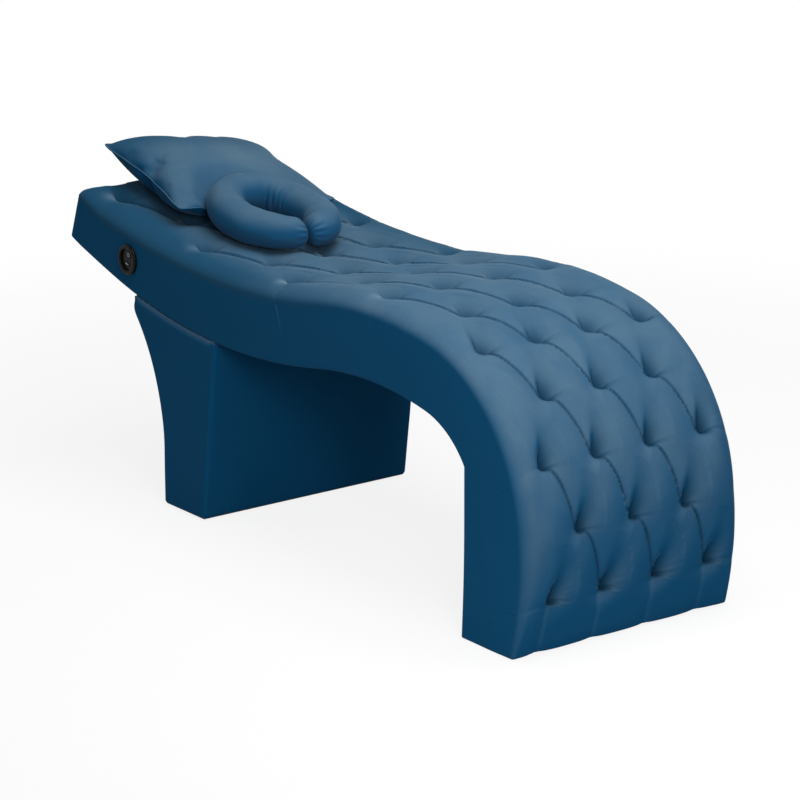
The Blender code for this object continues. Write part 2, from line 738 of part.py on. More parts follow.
def build_bolts(root, finishes, belly, rails, top_board):
    """Bolts that hold the pedestal to the mount rails, and their holes."""
    start = -SEAT_GAP * 2 - PEDESTAL_TOP
    tip = BELLY_INSIDE + RAIL_HEIGHT
    hexagon = [(BOLT_HEAD_RADIUS, start - BOLT_HEAD_HEIGHT), (BOLT_HEAD_RADIUS, start)]
    shank = [(BOLT_RADIUS, start), (BOLT_RADIUS, tip)]
    number = 0
    for along, rail in zip(rail_places(), rails):
        x, z = UNDERSIDE.at(along)
        turn = (0, -UNDERSIDE.heading(along), 0)
        for y in (-BOLT_ACROSS, BOLT_ACROSS):
            number += 1
            place = (x, y, z)
            bolt = turned(hexagon + shank, sides=12)
            put(f"pedestal_bolt_{number}", bolt, finishes["steel"], root, place, turn)
            bore = turned([(BOLT_HOLE_RADIUS, 2 * start), (BOLT_HOLE_RADIUS, 2 * tip)], sides=12)
            cutter = put(f"bolt_bore_{number}", bore, finishes["steel"], root, place, turn)
            for target in (belly, rail, top_board):
                cut(target, cutter)


def build_glides(root, finishes):
    """Nail-on glides that the pedestal and the foot stand on."""
    top = GLIDE_HEIGHT - SEAT_GAP
    profile = [(GLIDE_RADIUS * 0.8, 0.0), (GLIDE_RADIUS, top * 0.45), (GLIDE_RADIUS, top)]
    middle = PEDESTAL_OUTER_X + PEDESTAL_DEPTH / 2
    places = []
    for side in (-1, 1):
        for end in (-1, 1):
            spot = (middle + side * PEDESTAL_GLIDE_SPREAD, end * PEDESTAL_GLIDE_ACROSS)
            places.append((f"pedestal_glide_{len(places) + 1}", spot))
    sill_far = TOP.at(TOP.down_to(GLIDE_HEIGHT, SLAT_TOP), SLAT_TOP)[0]
    foot_x = (LEG_INNER_X + BELLY_INSIDE + sill_far) / 2
    for number, y in enumerate(FOOT_GLIDE_ACROSS, 1):
        places.append((f"foot_glide_{number}", (foot_x, y)))
    for name, (x, y) in places:
        put(name, turned(profile), finishes["glide"], root, (x, y, 0.0))


def key_body(cap, flange, crown):
    """A push key: stem, flange behind the face and cap through it."""
    stem = [(x * KEY_STEM_SHARE, y * KEY_STEM_SHARE) for x, y in cap]
    levels = [
        (stem, KEY_STEM_BACK),
        (stem, KEY_FLANGE_BACK),
        (flange, KEY_FLANGE_BACK),
        (flange, FACE_BACK - SEAT_GAP),
        (cap, FACE_BACK - SEAT_GAP),
        (cap, KEY_FRONT - KEY_CROWN_HEIGHT),
        (crown, KEY_FRONT),
    ]
    return stack(levels)


def build_control(root, finishes, targets):
    """The side control: bezel, face, can, circuit board and two push keys."""
    turn = (math.radians(90), math.radians(CONTROL_TILT), 0)
    top_z = UNDERSIDE_LOW_HEIGHT + SEAT_THICKNESS + fall_over(TOP_HEAD_RADIUS, CONTROL_X)
    mount = empty("control_mount", root, (CONTROL_X, -HALF_WIDTH, top_z - CONTROL_DEPTH), turn)
    bezel_seat = CAN_RADIUS + SEAT_GAP
    bezel = [
        (bezel_seat, SEAT_GAP),
        (BEZEL_RADIUS, SEAT_GAP),
        (BEZEL_RADIUS, BEZEL_HEIGHT * 0.45),
        (BEZEL_RADIUS - BEZEL_ROUND / 3, BEZEL_HEIGHT * 0.80),
        (BEZEL_RADIUS - BEZEL_ROUND, BEZEL_HEIGHT),
        (BEZEL_OPENING + BEZEL_ROUND, BEZEL_HEIGHT),
        (BEZEL_OPENING, BEZEL_HEIGHT * 0.75),
        (BEZEL_OPENING, FACE_FRONT + SEAT_GAP),
        (bezel_seat, FACE_FRONT + SEAT_GAP),
    ]
    put("control_bezel", turned(bezel, ring=True, sides=40), finishes["gloss_black"], mount)
    ledge = BOARD_BACK - SEAT_GAP
    can = [
        (CAN_RADIUS, -CAN_DEPTH),
        (CAN_RADIUS, SEAT_GAP),
        (CAN_BORE, SEAT_GAP),
        (CAN_BORE, ledge),
        (CAN_LEDGE, ledge),
        (CAN_LEDGE, CAN_FLOOR - CAN_DEPTH),
    ]
    put("control_can", turned(can, sides=40), finishes["matte_black"], mount)
    face = turned([(CAN_RADIUS, FACE_BACK), (CAN_RADIUS, FACE_FRONT)], sides=40)
    face = put("control_face", face, finishes["gloss_black"], mount)
    board = turned([(CAN_BORE - SEAT_GAP, BOARD_BACK), (CAN_BORE - SEAT_GAP, BOARD_FRONT)], sides=32)
    put("circuit_board", board, finishes["circuit"], mount)

    grows = (0.0, KEY_FLANGE, -KEY_CROWN, KEY_CLEARANCE)
    power = [circle(POWER_KEY_RADIUS + grow, 28) for grow in grows]
    place = (0, POWER_KEY_UP, 0)
    put("power_key", key_body(*power[:3]), finishes["key"], mount, place)
    slot = stack([(power[3], FACE_BACK - CUT_MARGIN), (power[3], FACE_FRONT + CUT_MARGIN)])
    cut(face, put("power_key_slot", slot, finishes["key"], mount, place))

    mode = [stadium(MODE_KEY_LENGTH + 2 * grow, MODE_KEY_HEIGHT + 2 * grow) for grow in grows]
    place = (0, -MODE_KEY_DOWN, 0)
    put("mode_key", key_body(*mode[:3]), finishes["key"], mount, place)
    slot = stack([(mode[3], FACE_BACK - CUT_MARGIN), (mode[3], FACE_FRONT + CUT_MARGIN)])
    cut(face, put("mode_key_slot", slot, finishes["key"], mount, place))

    bore_radius = CAN_RADIUS + SEAT_GAP
    bore = turned([(bore_radius, -2 * CAN_DEPTH), (bore_radius, CAN_DEPTH)], sides=40)
    bore = put("control_bore", bore, finishes["matte_black"], mount)
    for target in targets:
        cut(target, bore)
    return mount


def motor_outline():
    """A motor's end view: fixing plate above, round can below."""
    half = MOTOR_PLATE / 2
    points = [(half, -MOTOR_PLATE_THICKNESS), (half, 0.0), (-half, 0.0), (-half, -MOTOR_PLATE_THICKNESS)]
    points.append((-MOTOR_RADIUS, -MOTOR_PLATE_THICKNESS))
    for i in range(17):
        turn = math.pi + math.pi * i / 16
        points.append((MOTOR_RADIUS * math.cos(turn), MOTOR_RADIUS * math.sin(turn) - MOTOR_DROP))
    points.append((MOTOR_RADIUS, -MOTOR_PLATE_THICKNESS))
    return points


def half_round(sides=24):
    """An off-centre weight's outline with as many points as the shaft's circle."""
    return [(x, max(y, -WEIGHT_FLAT)) for x, y in circle(WEIGHT_RADIUS, sides)]


def build_motors(root, finishes):
    """Two massage motors under the deck, each with an off-centre weight on its shaft."""
    half = MOTOR_LENGTH / 2
    for number, along in enumerate(MOTOR_PLACES, 1):
        x, z = TOP.at(along, SLAT_TOP - MOTOR_SEAT)
        mount = empty(f"motor_mount_{number}", root, (x, 0, z), (0, -TOP.heading(along), 0))
        body = across(motor_outline(), -half, half)
        motor = put(f"massage_motor_{number}", body, finishes["steel"], mount)
        x, z = TOP.at(along, SLAT_TOP - MOTOR_SEAT - MOTOR_DROP)
        axis = (x, 0, z)
        turn = (math.radians(-90), 0, 0)
        bore = turned([(SHAFT_BORE, half - SHAFT_DEPTH), (SHAFT_BORE, 2 * half)])
        cut(motor, put(f"shaft_bore_{number}", bore, finishes["steel"], root, axis, turn))
        start = half + WEIGHT_GAP
        levels = [
            (circle(SHAFT_RADIUS), half - SHAFT_DEPTH + SEAT_GAP),
            (circle(SHAFT_RADIUS), start),
            (half_round(), start),
            (half_round(), start + WEIGHT_LENGTH),
        ]
        put(f"eccentric_weight_{number}", stack(levels), finishes["steel"], root, axis, turn)


def over_bed(along, y, lift):
    """A point over the bed's top as a vector."""
    x, z = TOP.at(along, lift)
    return Vector((x, y, z))


def build_wiring(root, finishes, belly, control):
    """Capped power inlet in the underside, and the leads from inlet to control to motors."""
    x, z = UNDERSIDE.at(INLET_PLACE)
    turn = (0, -UNDERSIDE.heading(INLET_PLACE), 0)
    place = (x, INLET_ACROSS, z)
    below = -SEAT_GAP - INLET_FLANGE_THICKNESS
    inlet = [
        (INLET_CAP, below - INLET_CAP_HEIGHT),
        (INLET_CAP + INLET_CAP_HEIGHT, below),
        (INLET_FLANGE, below),
        (INLET_FLANGE, -SEAT_GAP),
        (INLET_RADIUS, -SEAT_GAP),
        (INLET_RADIUS, INLET_LENGTH),
    ]
    put("power_inlet", turned(inlet, sides=20), finishes["matte_black"], root, place, turn)
    bore_radius = INLET_RADIUS + SEAT_GAP
    bore = turned([(bore_radius, -INLET_LENGTH), (bore_radius, INLET_LENGTH)], sides=20)
    cut(belly, put("inlet_bore", bore, finishes["matte_black"], root, place, turn))

    frame = Matrix.Translation(control.location) @ control.rotation_euler.to_matrix().to_4x4()
    exits = []
    for side in (-LEAD_EXIT_SIDE, LEAD_EXIT_SIDE):
        backs = (CAN_DEPTH + SEAT_GAP, CAN_DEPTH + CONTROL_LEAD_OUT)
        exits.append([frame @ Vector((side, -LEAD_EXIT_DOWN, -back)) for back in backs])
    normal = UNDERSIDE.heading(INLET_PLACE)
    up = Vector((-math.sin(normal), 0, math.cos(normal)))
    socket = Vector(place) + up * (INLET_LENGTH + SEAT_GAP)
    supply = [socket, socket + up * SUPPLY_RISE]
    supply += [Vector((x + ahead, y, z + rise)) for ahead, y, rise in SUPPLY_KNOTS]
    supply += [exits[0][1], exits[0][0]]
    put("supply_lead", tube(smooth_path(supply), LEAD_RADIUS), finishes["lead"], root)

    ends = []
    shift = SLAT_TOP - MOTOR_SEAT - MOTOR_DROP
    for along in MOTOR_PLACES:
        pair = []
        for side in (-MOTOR_LEAD_SIDE, MOTOR_LEAD_SIDE):
            outs = (SEAT_GAP, MOTOR_LEAD_OUT)
            pair.append([over_bed(along + side, -MOTOR_LENGTH / 2 - out, shift) for out in outs])
        ends.append(pair)
    first = list(exits[1])
    first += [over_bed(MOTOR_PLACES[0] + ahead, y, LEAD_RUN) for ahead, y in FIRST_LEAD_KNOTS]
    first += reversed(ends[0][0])
    put("motor_lead_1", tube(smooth_path(first), LEAD_RADIUS), finishes["lead"], root)
    second = list(ends[0][1])
    second += [over_bed(MOTOR_PLACES[0] + ahead, SECOND_LEAD_ACROSS, LEAD_RUN) for ahead in SECOND_LEAD_STEPS]
    second += reversed(ends[1][0])
    put("motor_lead_2", tube(smooth_path(second), LEAD_RADIUS), finishes["lead"], root)


def neck_height(turn, radius):
    """Height of the neck pillow's middle line; its bend rises onto the head pillow."""
    back = (1 - math.cos(turn)) / 2
    return PUFF + 2 * SEAT_GAP + radius + NECK_RISE * back ** 2


def under_neck(along, y):
    """Highest lift at a place over the bed that leaves room for the neck pillow's round underside."""
    a = (along - NECK_PLACE) / NECK_HALF_LENGTH
    b = (y - NECK_ACROSS) / NECK_HALF_WIDTH
    turn = math.atan2(b, a)
    scale = math.hypot(NECK_HALF_LENGTH * math.cos(turn), NECK_HALF_WIDTH * math.sin(turn))
    off = abs(math.hypot(a, b) - 1) * scale
    shoulder = NECK_RADIUS * math.sqrt(0.5)
    drop = math.sqrt(NECK_RADIUS ** 2 - off ** 2) if off < shoulder else 2 * shoulder - off
    return neck_height(turn, NECK_RADIUS) - drop - NECK_HOLLOW


def pillow_point(u, v, upper):
    """A point of the head pillow's upper or lower half; u runs along the bed and v across it."""
    draw_u = 1 - PILLOW_PINCH * (1 - v * v) * u * u
    draw_v = 1 - PILLOW_PINCH * (1 - u * u) * v * v
    along = PILLOW_PLACE + PILLOW_LENGTH / 2 * u * draw_u
    y = PILLOW_ACROSS + PILLOW_WIDTH / 2 * v * draw_v
    full = ((1 - u ** 4) * (1 - v ** 4)) ** PILLOW_FULLNESS
    seam = PILLOW_SEAM - PILLOW_TILT * u - PILLOW_ROLL * v + PILLOW_EAR * (u * v) ** 2
    lift = seam + PILLOW_CROWN * full if upper else seam - PILLOW_BELLY * full
    return over_bed(along, y, max(min(lift, under_neck(along, y)), PUFF + 2 * SEAT_GAP))


def head_pillow():
    """The pinched head pillow that lies on the head end."""
    shape = bmesh.new()
    rows, columns = 16, 22
    upper, lower = [], []
    for i in range(rows + 1):
        u = math.sin(math.pi * (i / rows - 0.5))
        top_row, low_row = [], []
        for j in range(columns + 1):
            v = math.sin(math.pi * (j / columns - 0.5))
            vertex = shape.verts.new(pillow_point(u, v, True))
            rim = i in (0, rows) or j in (0, columns)
            top_row.append(vertex)
            low_row.append(vertex if rim else shape.verts.new(pillow_point(u, v, False)))
        upper.append(top_row)
        lower.append(low_row)
    for grid in (upper, lower):
        for i in range(rows):
            for j in range(columns):
                corner = (grid[i][j], grid[i + 1][j], grid[i + 1][j + 1], grid[i][j + 1])
                shape.faces.new(corner)
    return shape


def neck_pillow():
    """The horseshoe neck pillow, its bend leaning on the head pillow and its ends almost meeting."""
    sections = []
    first = math.radians(NECK_MOUTH + NECK_MOUTH_HALF)
    last = first + 2 * math.pi - 2 * math.radians(NECK_MOUTH_HALF)
    for i in range(NECK_STEPS + 1):
        turn = first + (last - first) * i / NECK_STEPS
        taper = min(1.0, min(i, NECK_STEPS - i) / NECK_TAPER_STEPS)
        radius = NECK_END_RADIUS + (NECK_RADIUS - NECK_END_RADIUS) * math.sqrt(taper)
        along = NECK_PLACE + NECK_HALF_LENGTH * math.cos(turn)
        y = NECK_ACROSS + NECK_HALF_WIDTH * math.sin(turn)
        out = Vector((math.cos(turn) * NECK_HALF_WIDTH, math.sin(turn) * NECK_HALF_LENGTH)).normalized()
        height = neck_height(turn, radius)
        ring = []
        for a, b in circle(radius, 16):
            ring.append(over_bed(along + out.x * a, y + out.y * a, height + b))
        sections.append(ring)
    return loft(sections)


def main():
    """Build every piece of the bed on one frame whose origin is on the floor under its middle."""
    clear_scene()
    finishes = {
        "velvet": finish_material("blue_velvet", (0.045, 0.145, 0.245), 0.85),
        "foam": finish_material("foam", (0.80, 0.74, 0.55), 0.95),
        "plywood": finish_material("plywood", (0.55, 0.38, 0.20), 0.65),
        "pine": finish_material("pine", (0.68, 0.50, 0.28), 0.65),
        "hardboard": finish_material("hardboard", (0.25, 0.15, 0.08), 0.75),
        "steel": finish_material("zinc_steel", (0.60, 0.60, 0.62), 0.35, 1.0),
        "glide": finish_material("glide_plastic", (0.03, 0.03, 0.03), 0.55),
        "gloss_black": finish_material("gloss_black", (0.010, 0.010, 0.012), 0.15),
        "matte_black": finish_material("matte_black", (0.020, 0.020, 0.022), 0.55),
        "key": finish_material("key_plastic", (0.030, 0.030, 0.034), 0.22),
        "circuit": finish_material("circuit_board", (0.02, 0.16, 0.06), 0.45),
        "lead": finish_material("lead_sheath", (0.015, 0.015, 0.015), 0.50),
    }
    root = empty("bed_root", None, ((HEAD_REACH - BED_FRONT_X) / 2, 0, 0))
    rib_near, belly, rails = build_frame(root, finishes)
    side_near = build_upholstery(root, finishes)
    top_board = build_pedestal(root, finishes)
    build_bolts(root, finishes, belly, rails, top_board)
    build_glides(root, finishes)
    control = build_control(root, finishes, (rib_near, side_near))
    build_motors(root, finishes)
    build_wiring(root, finishes, belly, control)
    put("head_pillow", head_pillow(), finishes["velvet"], root)
    put("neck_pillow", neck_pillow(), finishes["velvet"], root)


main()
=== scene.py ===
"""Looks of the eyelash extension bed: tufted velvet, loose pillows, control, frame finishes and studio."""

import json
import logging
from collections.abc import Iterator, Sequence
from contextlib import contextmanager
from dataclasses import astuple, dataclass, field
from enum import Enum, IntEnum
from math import asin, copysign, cos, degrees, hypot, pi, radians, sin, sqrt, tan

import bmesh
import bpy
import numpy as np
from mathutils import Matrix, Vector
from mathutils.kdtree import KDTree

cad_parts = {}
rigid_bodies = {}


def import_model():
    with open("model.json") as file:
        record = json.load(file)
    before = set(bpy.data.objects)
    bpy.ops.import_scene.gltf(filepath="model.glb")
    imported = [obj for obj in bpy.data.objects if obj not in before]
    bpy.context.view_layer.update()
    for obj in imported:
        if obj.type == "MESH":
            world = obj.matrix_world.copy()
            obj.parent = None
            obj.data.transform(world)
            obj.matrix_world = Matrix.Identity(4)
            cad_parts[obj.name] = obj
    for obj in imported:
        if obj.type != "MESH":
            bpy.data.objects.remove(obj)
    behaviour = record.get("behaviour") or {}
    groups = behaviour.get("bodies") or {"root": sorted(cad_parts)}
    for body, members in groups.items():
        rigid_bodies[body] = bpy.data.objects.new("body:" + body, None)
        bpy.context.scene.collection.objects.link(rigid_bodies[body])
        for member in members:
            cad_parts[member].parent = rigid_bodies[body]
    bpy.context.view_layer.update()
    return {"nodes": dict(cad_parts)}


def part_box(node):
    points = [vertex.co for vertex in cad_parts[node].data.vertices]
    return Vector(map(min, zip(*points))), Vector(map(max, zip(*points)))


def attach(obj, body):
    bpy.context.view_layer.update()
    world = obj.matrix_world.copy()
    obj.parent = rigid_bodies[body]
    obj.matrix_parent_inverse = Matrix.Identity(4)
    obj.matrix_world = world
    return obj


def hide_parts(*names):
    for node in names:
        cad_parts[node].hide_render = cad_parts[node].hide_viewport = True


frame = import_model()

LOG = logging.getLogger("bed")
SAME_PLACE = 1e-6
ARC_STEPS = 6
END_RINGS = (0.9, 0.7, 0.4, 0.12)
Colour = tuple[float, float, float]
Span = tuple[float, float]
Faces = list[tuple[int, ...]]
Array = np.ndarray
Piece = bpy.types.Object
Material = bpy.types.Material
Node = bpy.types.Node
Socket = bpy.types.NodeSocket


class Body(str, Enum):
    """Bodies of the frame that pieces ride on."""

    BED = "bed"
    POWER_KEY = "power_key"
    MODE_KEY = "mode_key"
    HEAD_PILLOW = "head_pillow"
    NECK_PILLOW = "neck_pillow"


class Slot(str, Enum):
    """Material slots of the record."""

    VELVET = "blue_velvet"
    FOAM = "foam"
    PLYWOOD = "plywood"
    PINE = "pine"
    HARDBOARD = "hardboard"
    STEEL = "zinc_steel"
    GLIDE = "glide_plastic"
    GLOSS = "gloss_black"
    MATTE = "matte_black"
    KEY = "key_plastic"
    BOARD = "circuit_board"
    SHEATH = "lead_sheath"


class Mark(str, Enum):
    """Values that pieces keep on their points and the velvet reads."""

    # Painted shade in the tufts, creases and gathers.
    TUCK = "tuck"
    # Where the painted light follows the shin's way rather than facing up.
    SHIN = "shin"
    # Painted light: pale spots beside the seat's tufts and on the head pillow, and the neck pillow's lighter
    # underside.
    CRUSHED = "crushed"
    # Painted shade at the head end, on the rolls before the knee and towards the head pillow's head end.
    STANDING = "standing"


class Draw(IntEnum):
    """Seeds of what is drawn at random."""

    PUFFS = 5
    NECK_FOLDS = 9
    SIDES = 11
    CREASE_SHADE = 17
    NECK = 21
    SLEEVE = 71
    GATHERS = 100
    # Seed of the painted light spots.
    CRUSHED_PILE = 300


# Side view

@dataclass(frozen=True)
class Arc:
    """One arc of a side view curve."""

    walked: float
    heading: float
    centre_x: float
    centre_z: float
    radius: float
    side: float


class SideCurve:
    """A side view curve of tangent arcs; a lift moves its points to the left of the walk."""

    def __init__(self, start: Span, heading: float, turns: list[Span]) -> None:
        """Walk the arcs.

        Args:
            start: First point (x, z) in metres.
            heading: First heading in degrees.
            turns: Each arc's radius in metres and turn in degrees.
        """
        self.arcs: list[Arc] = []
        self.length = 0.0
        x, z = start
        angle = radians(heading)
        for radius, turn in turns:
            side = copysign(1.0, turn)
            centre_x = x - side * radius * sin(angle)
            centre_z = z + side * radius * cos(angle)
            self.arcs.append(Arc(self.length, angle, centre_x, centre_z, radius, side))
            self.length += radius * radians(abs(turn))
            angle += radians(turn)
            x = centre_x + side * radius * sin(angle)
            z = centre_z - side * radius * cos(angle)

    def at(self, along: Array, lift: Array) -> Array:
        """Points over the curve.

        Args:
            along: Distances along the curve.
            lift: Heights over it, of the same shape or one value.

        Returns:
            Array with x and z in its last axis.
        """
        along, lift = np.broadcast_arrays(np.asarray(along, float), np.asarray(lift, float))
        starts = [arc.walked for arc in self.arcs]
        index = np.clip(np.searchsorted(starts, along, side="right") - 1, 0, None)
        table = np.array([astuple(arc) for arc in self.arcs])
        walked, heading, centre_x, centre_z, radius, side = np.moveaxis(table[index], -1, 0)
        angle = heading + side * (along - walked) / radius
        reach = side * radius - lift
        return np.stack([centre_x + reach * np.sin(angle), centre_z - reach * np.cos(angle)], axis=-1)


def fall_over(radius: float, reach: float) -> float:
    """How far an arc that starts level has left that level after a reach along the bed."""
    return radius - sqrt(radius ** 2 - reach ** 2)


@dataclass
class BedShape:
    """The bed's side view and tuft rows, in the sizes of the solids."""

    width: float = 0.65
    glide_height: float = 0.004
    head_reach: float = 0.746
    head_lean: float = 0.0445
    seat_thickness: float = 0.188
    leg_thickness: float = 0.229
    under_low: float = 0.487
    under_head_radius: float = 1.95
    under_rise: float = 10.4
    under_crest_radius: float = 1.10
    under_fall: float = 12.0
    under_knee_radius: float = 0.237
    under_knee: float = 56.0
    top_head_radius: float = 2.84
    top_seat_radius: float = 2.07
    top_rise: float = 9.6
    top_crest_radius: float = 1.285
    top_fall: float = 10.0
    foot_tuck: float = 0.0446
    shin_run_on: float = 1.3
    puff: float = 0.004
    column_pitch: float = 0.16
    shin_pitch: float = 0.16
    shin_rows: int = 6
    seat_pitch: float = 0.195
    lowest_tuft: float = 0.137
    tuft_shift: float = -0.009
    highest_tuft: float = 0.06
    edge_roll: float = 0.060
    roll_drop: float = 0.036
    foot_edge_run: float = 0.30
    foot_edge_share: float = 0.16
    head_edge_run: float = 0.10
    head_edge_share: float = 0.45
    control_x: float = -0.474
    up_step: float = 0.002
    depth_range: Span = (0.02, 0.36)

    def __post_init__(self) -> None:
        """Walk the curves and find where the bed lies in the frame."""
        low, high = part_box("control_bezel")
        self.root_x = (low.x + high.x) / 2 - self.control_x
        self.half = self.width / 2
        self.under = self._underside()
        leg_inner, knee_end = self.under.at(self.under.length, 0.0)
        self.leg_inner = float(leg_inner)
        self.knee_end = float(knee_end)
        self.top = self._top(self.leg_inner + self.leg_thickness)
        self.foot_end = float(self._end(np.array(0.0)))
        shin = [self.foot_end - self.lowest_tuft - i * self.shin_pitch for i in range(self.shin_rows)]
        more = int((shin[-1] - self.highest_tuft) / self.seat_pitch)
        self.lines = shin + [shin[-1] - (i + 1) * self.seat_pitch for i in range(more)]

    def _underside(self) -> SideCurve:
        """The underside from the head end to the knee."""
        lead = degrees(asin(self.head_reach / self.under_head_radius))
        start = (-self.head_reach, self.under_low + fall_over(self.under_head_radius, self.head_reach))
        turns = [
            (self.under_head_radius, lead + self.under_rise),
            (self.under_crest_radius, -self.under_rise - self.under_fall),
            (self.under_knee_radius, self.under_fall - self.under_knee),
        ]
        return SideCurve(start, -lead, turns)

    def _top(self, front_x: float) -> SideCurve:
        """The top from the head end over the knee to the floor; its knee reaches front_x."""
        reach = self.head_reach - self.head_lean
        lead = degrees(asin(reach / self.top_head_radius))
        low = self.under_low + self.seat_thickness
        rise, fall = radians(self.top_rise), radians(self.top_fall)
        both = self.top_seat_radius + self.top_crest_radius
        knee_x = both * sin(rise) + self.top_crest_radius * sin(fall)
        knee_radius = (front_x - knee_x) / (1 - sin(fall))
        knee_z = low + both * (1 - cos(rise)) - self.top_crest_radius * (1 - cos(fall))
        drop = knee_z - knee_radius * cos(fall) - self.glide_height
        shin_radius = (drop ** 2 + self.foot_tuck ** 2) / (2 * self.foot_tuck)
        shin_turn = degrees(asin(drop / shin_radius))
        turns = [
            (self.top_head_radius, lead),
            (self.top_seat_radius, self.top_rise),
            (self.top_crest_radius, -self.top_rise - self.top_fall),
            (knee_radius, self.top_fall - 90.0),
            (shin_radius, -self.shin_run_on * shin_turn),
        ]
        return SideCurve((-reach, low + fall_over(self.top_head_radius, reach)), -lead, turns)

    def _end(self, lift: Array) -> Array:
        """Distance at which the shin, moved by the lift, comes down to the glides' height."""
        shin = self.top.arcs[-1]
        angle = -np.arccos((self.glide_height - shin.centre_z) / (shin.radius + lift))
        return shin.walked + shin.radius * (shin.heading - angle)

    def over(self, along: Array, lift: Array) -> Array:
        """Points (x, z) of the frame over the top curve, stretched to end level at the glides' height."""
        along, lift = np.broadcast_arrays(np.asarray(along, float), np.asarray(lift, float))
        points = self.top.at(along * self._end(lift) / self.foot_end, lift)
        return points + np.array([self.root_x, 0.0])

    def up(self, along: Array, lift: Array) -> Array:
        """Unit direction (x, z) away from the bed at places over the top curve."""
        return unit(self.over(along, lift + self.up_step) - self.over(along, lift))

    def below(self, along: Array, lift: float) -> Array:
        """Points (x, z) of the frame along the underside, lifted into the bed."""
        return self.under.at(along, lift) + np.array([self.root_x, 0.0])

    def under_height(self, x: Array) -> Array:
        """Height of the underside at places along the frame's X axis, short of the leg."""
        line = self.below(np.linspace(0.0, self.under.length, 600), 0.0)
        return np.interp(x, line[:, 0], line[:, 1])

    def depth(self, along: Array) -> Array:
        """Depth of the bed under its top curve, square to it."""
        low, high = (np.full(along.shape, depth) for depth in self.depth_range)
        leg = self.leg_inner + self.root_x
        for _ in range(40):
            middle = (low + high) / 2
            point = self.over(along, -middle)
            inside = (point[..., 0] >= leg) | (point[..., 1] > self.under_height(point[..., 0]))
            low = np.where(inside, middle, low)
            high = np.where(inside, high, middle)
        return low

    def row_places(self, row: int) -> list[float]:
        """Places across of a row's tufts: four and three in turn from the foot up."""
        count = 4 - row % 2
        first = self.tuft_shift - (count - 1) / 2 * self.column_pitch
        return [first + i * self.column_pitch for i in range(count)]

    def tufts(self) -> list[Span]:
        """Places (along, across) of all tufts, row by row from the foot up."""
        rows = enumerate(self.lines)
        return [(along, across) for row, along in rows for across in self.row_places(row)]

    def row_at(self, along: Array) -> Array:
        """Rows past the lowest one at distances along; negative towards the head end."""
        shin = (along - self.lines[0]) / self.shin_pitch
        seat = 1 - self.shin_rows + (along - self.lines[self.shin_rows - 1]) / self.seat_pitch
        return np.where(along < self.lines[self.shin_rows - 1], seat, shin)

    def pitch_at(self, along: Array) -> Array:
        """Row pitch at distances along."""
        return np.where(along < self.lines[self.shin_rows - 1], self.seat_pitch, self.shin_pitch)

    def edge_size(self, along: Array) -> Array:
        """Share of the side rolls' full size at distances along; they tighten to both ends."""
        foot = held(1 - (self.foot_end - along) / self.foot_edge_run)
        head = held(1 - along / self.head_edge_run)
        return 1 - (1 - self.foot_edge_share) * foot - (1 - self.head_edge_share) * head


# Mesh tools

def unit(ways: Array) -> Array:
    """Directions scaled to length 1."""
    return ways / np.linalg.norm(ways, axis=-1, keepdims=True)


def set_across(flat: Array, across: Array) -> Array:
    """Points of the frame from side view points (x, z) and places across."""
    return np.stack(np.broadcast_arrays(flat[..., 0], across, flat[..., 1]), axis=-1)


def held(value: Array) -> Array:
    """A value held between 0 and 1."""
    return np.clip(value, 0, 1)


def ramp(value: Array, span: Span) -> Array:
    """Share of a run that values have gone past its start, 0 to 1."""
    start, run = span
    return held((value - start) / run)


def bell(value: Array, span: Span) -> Array:
    """A bell curve of height 1 about a place, with a width."""
    place, width = span
    return np.exp(-((value - place) / width) ** 2)


def from_whole(value: Array, pitch: float) -> Array:
    """Signed distance of values from the nearest whole pitch."""
    return value - pitch * np.round(value / pitch)


def fold(beside: Array, before: float, after: float) -> Array:
    """A fold's depth, 0 to 1, that fades over one distance before its line and over another after it."""
    return np.where(beside < 0, np.exp(beside / before), np.exp(-beside / after))


def search_tree(points: list[Colour]) -> KDTree:
    """Points to be searched by distance."""
    tree = KDTree(len(points))
    for index, point in enumerate(points):
        tree.insert(point, index)
    tree.balance()
    return tree


def configure(thing: object, settings: dict[str, object]) -> None:
    """Set properties by name."""
    for key, value in settings.items():
        setattr(thing, key, value)


def mesh_piece(name: str, points: Array, faces: Faces) -> Piece:
    """A smooth-shaded mesh object with its faces pointing out.

    Args:
        name: The piece's name.
        points: Vertices, one row each.
        faces: Vertex numbers of each face of a closed surface.

    Returns:
        The linked object.
    """
    mesh = bpy.data.meshes.new(name)
    mesh.from_pydata(points.reshape(-1, 3).tolist(), [], faces)
    shape = bmesh.new()
    shape.from_mesh(mesh)
    bmesh.ops.remove_doubles(shape, verts=shape.verts, dist=SAME_PLACE)
    if shape.calc_volume(signed=True) < 0:
        bmesh.ops.reverse_faces(shape, faces=shape.faces)
    shape.to_mesh(mesh)
    shape.free()
    mesh.shade_smooth()
    piece = bpy.data.objects.new(name, mesh)
    bpy.context.scene.collection.objects.link(piece)
    return piece


def mark(piece: Piece, name: Mark, values: Array) -> None:
    """Keep one value for each point of a piece, for the velvet to read."""
    piece.data.attributes.new(name.value, "FLOAT", "POINT").data.foreach_set("value", values)


def tube_faces(rows: int, columns: int) -> Faces:
    """Quads of a tube of closed loops, without its ends."""
    faces = []
    for i in range(rows - 1):
        for j in range(columns):
            k = (j + 1) % columns
            faces.append((i * columns + j, i * columns + k, (i + 1) * columns + k, (i + 1) * columns + j))
    return faces


def end_rings(loop: Array, shares: tuple[float, ...]) -> list[Array]:
    """Copies of a closed loop, shrunk by shares and laid in the plane that fits it."""
    middle = (loop.max(0) + loop.min(0)) / 2
    normal = np.linalg.svd(loop - loop.mean(0), full_matrices=False)[2][2]
    flat = loop - np.outer((loop - loop.mean(0)) @ normal, normal)
    middle = middle - ((middle - loop.mean(0)) @ normal) * normal
    return [middle + (flat - middle) * share for share in shares]


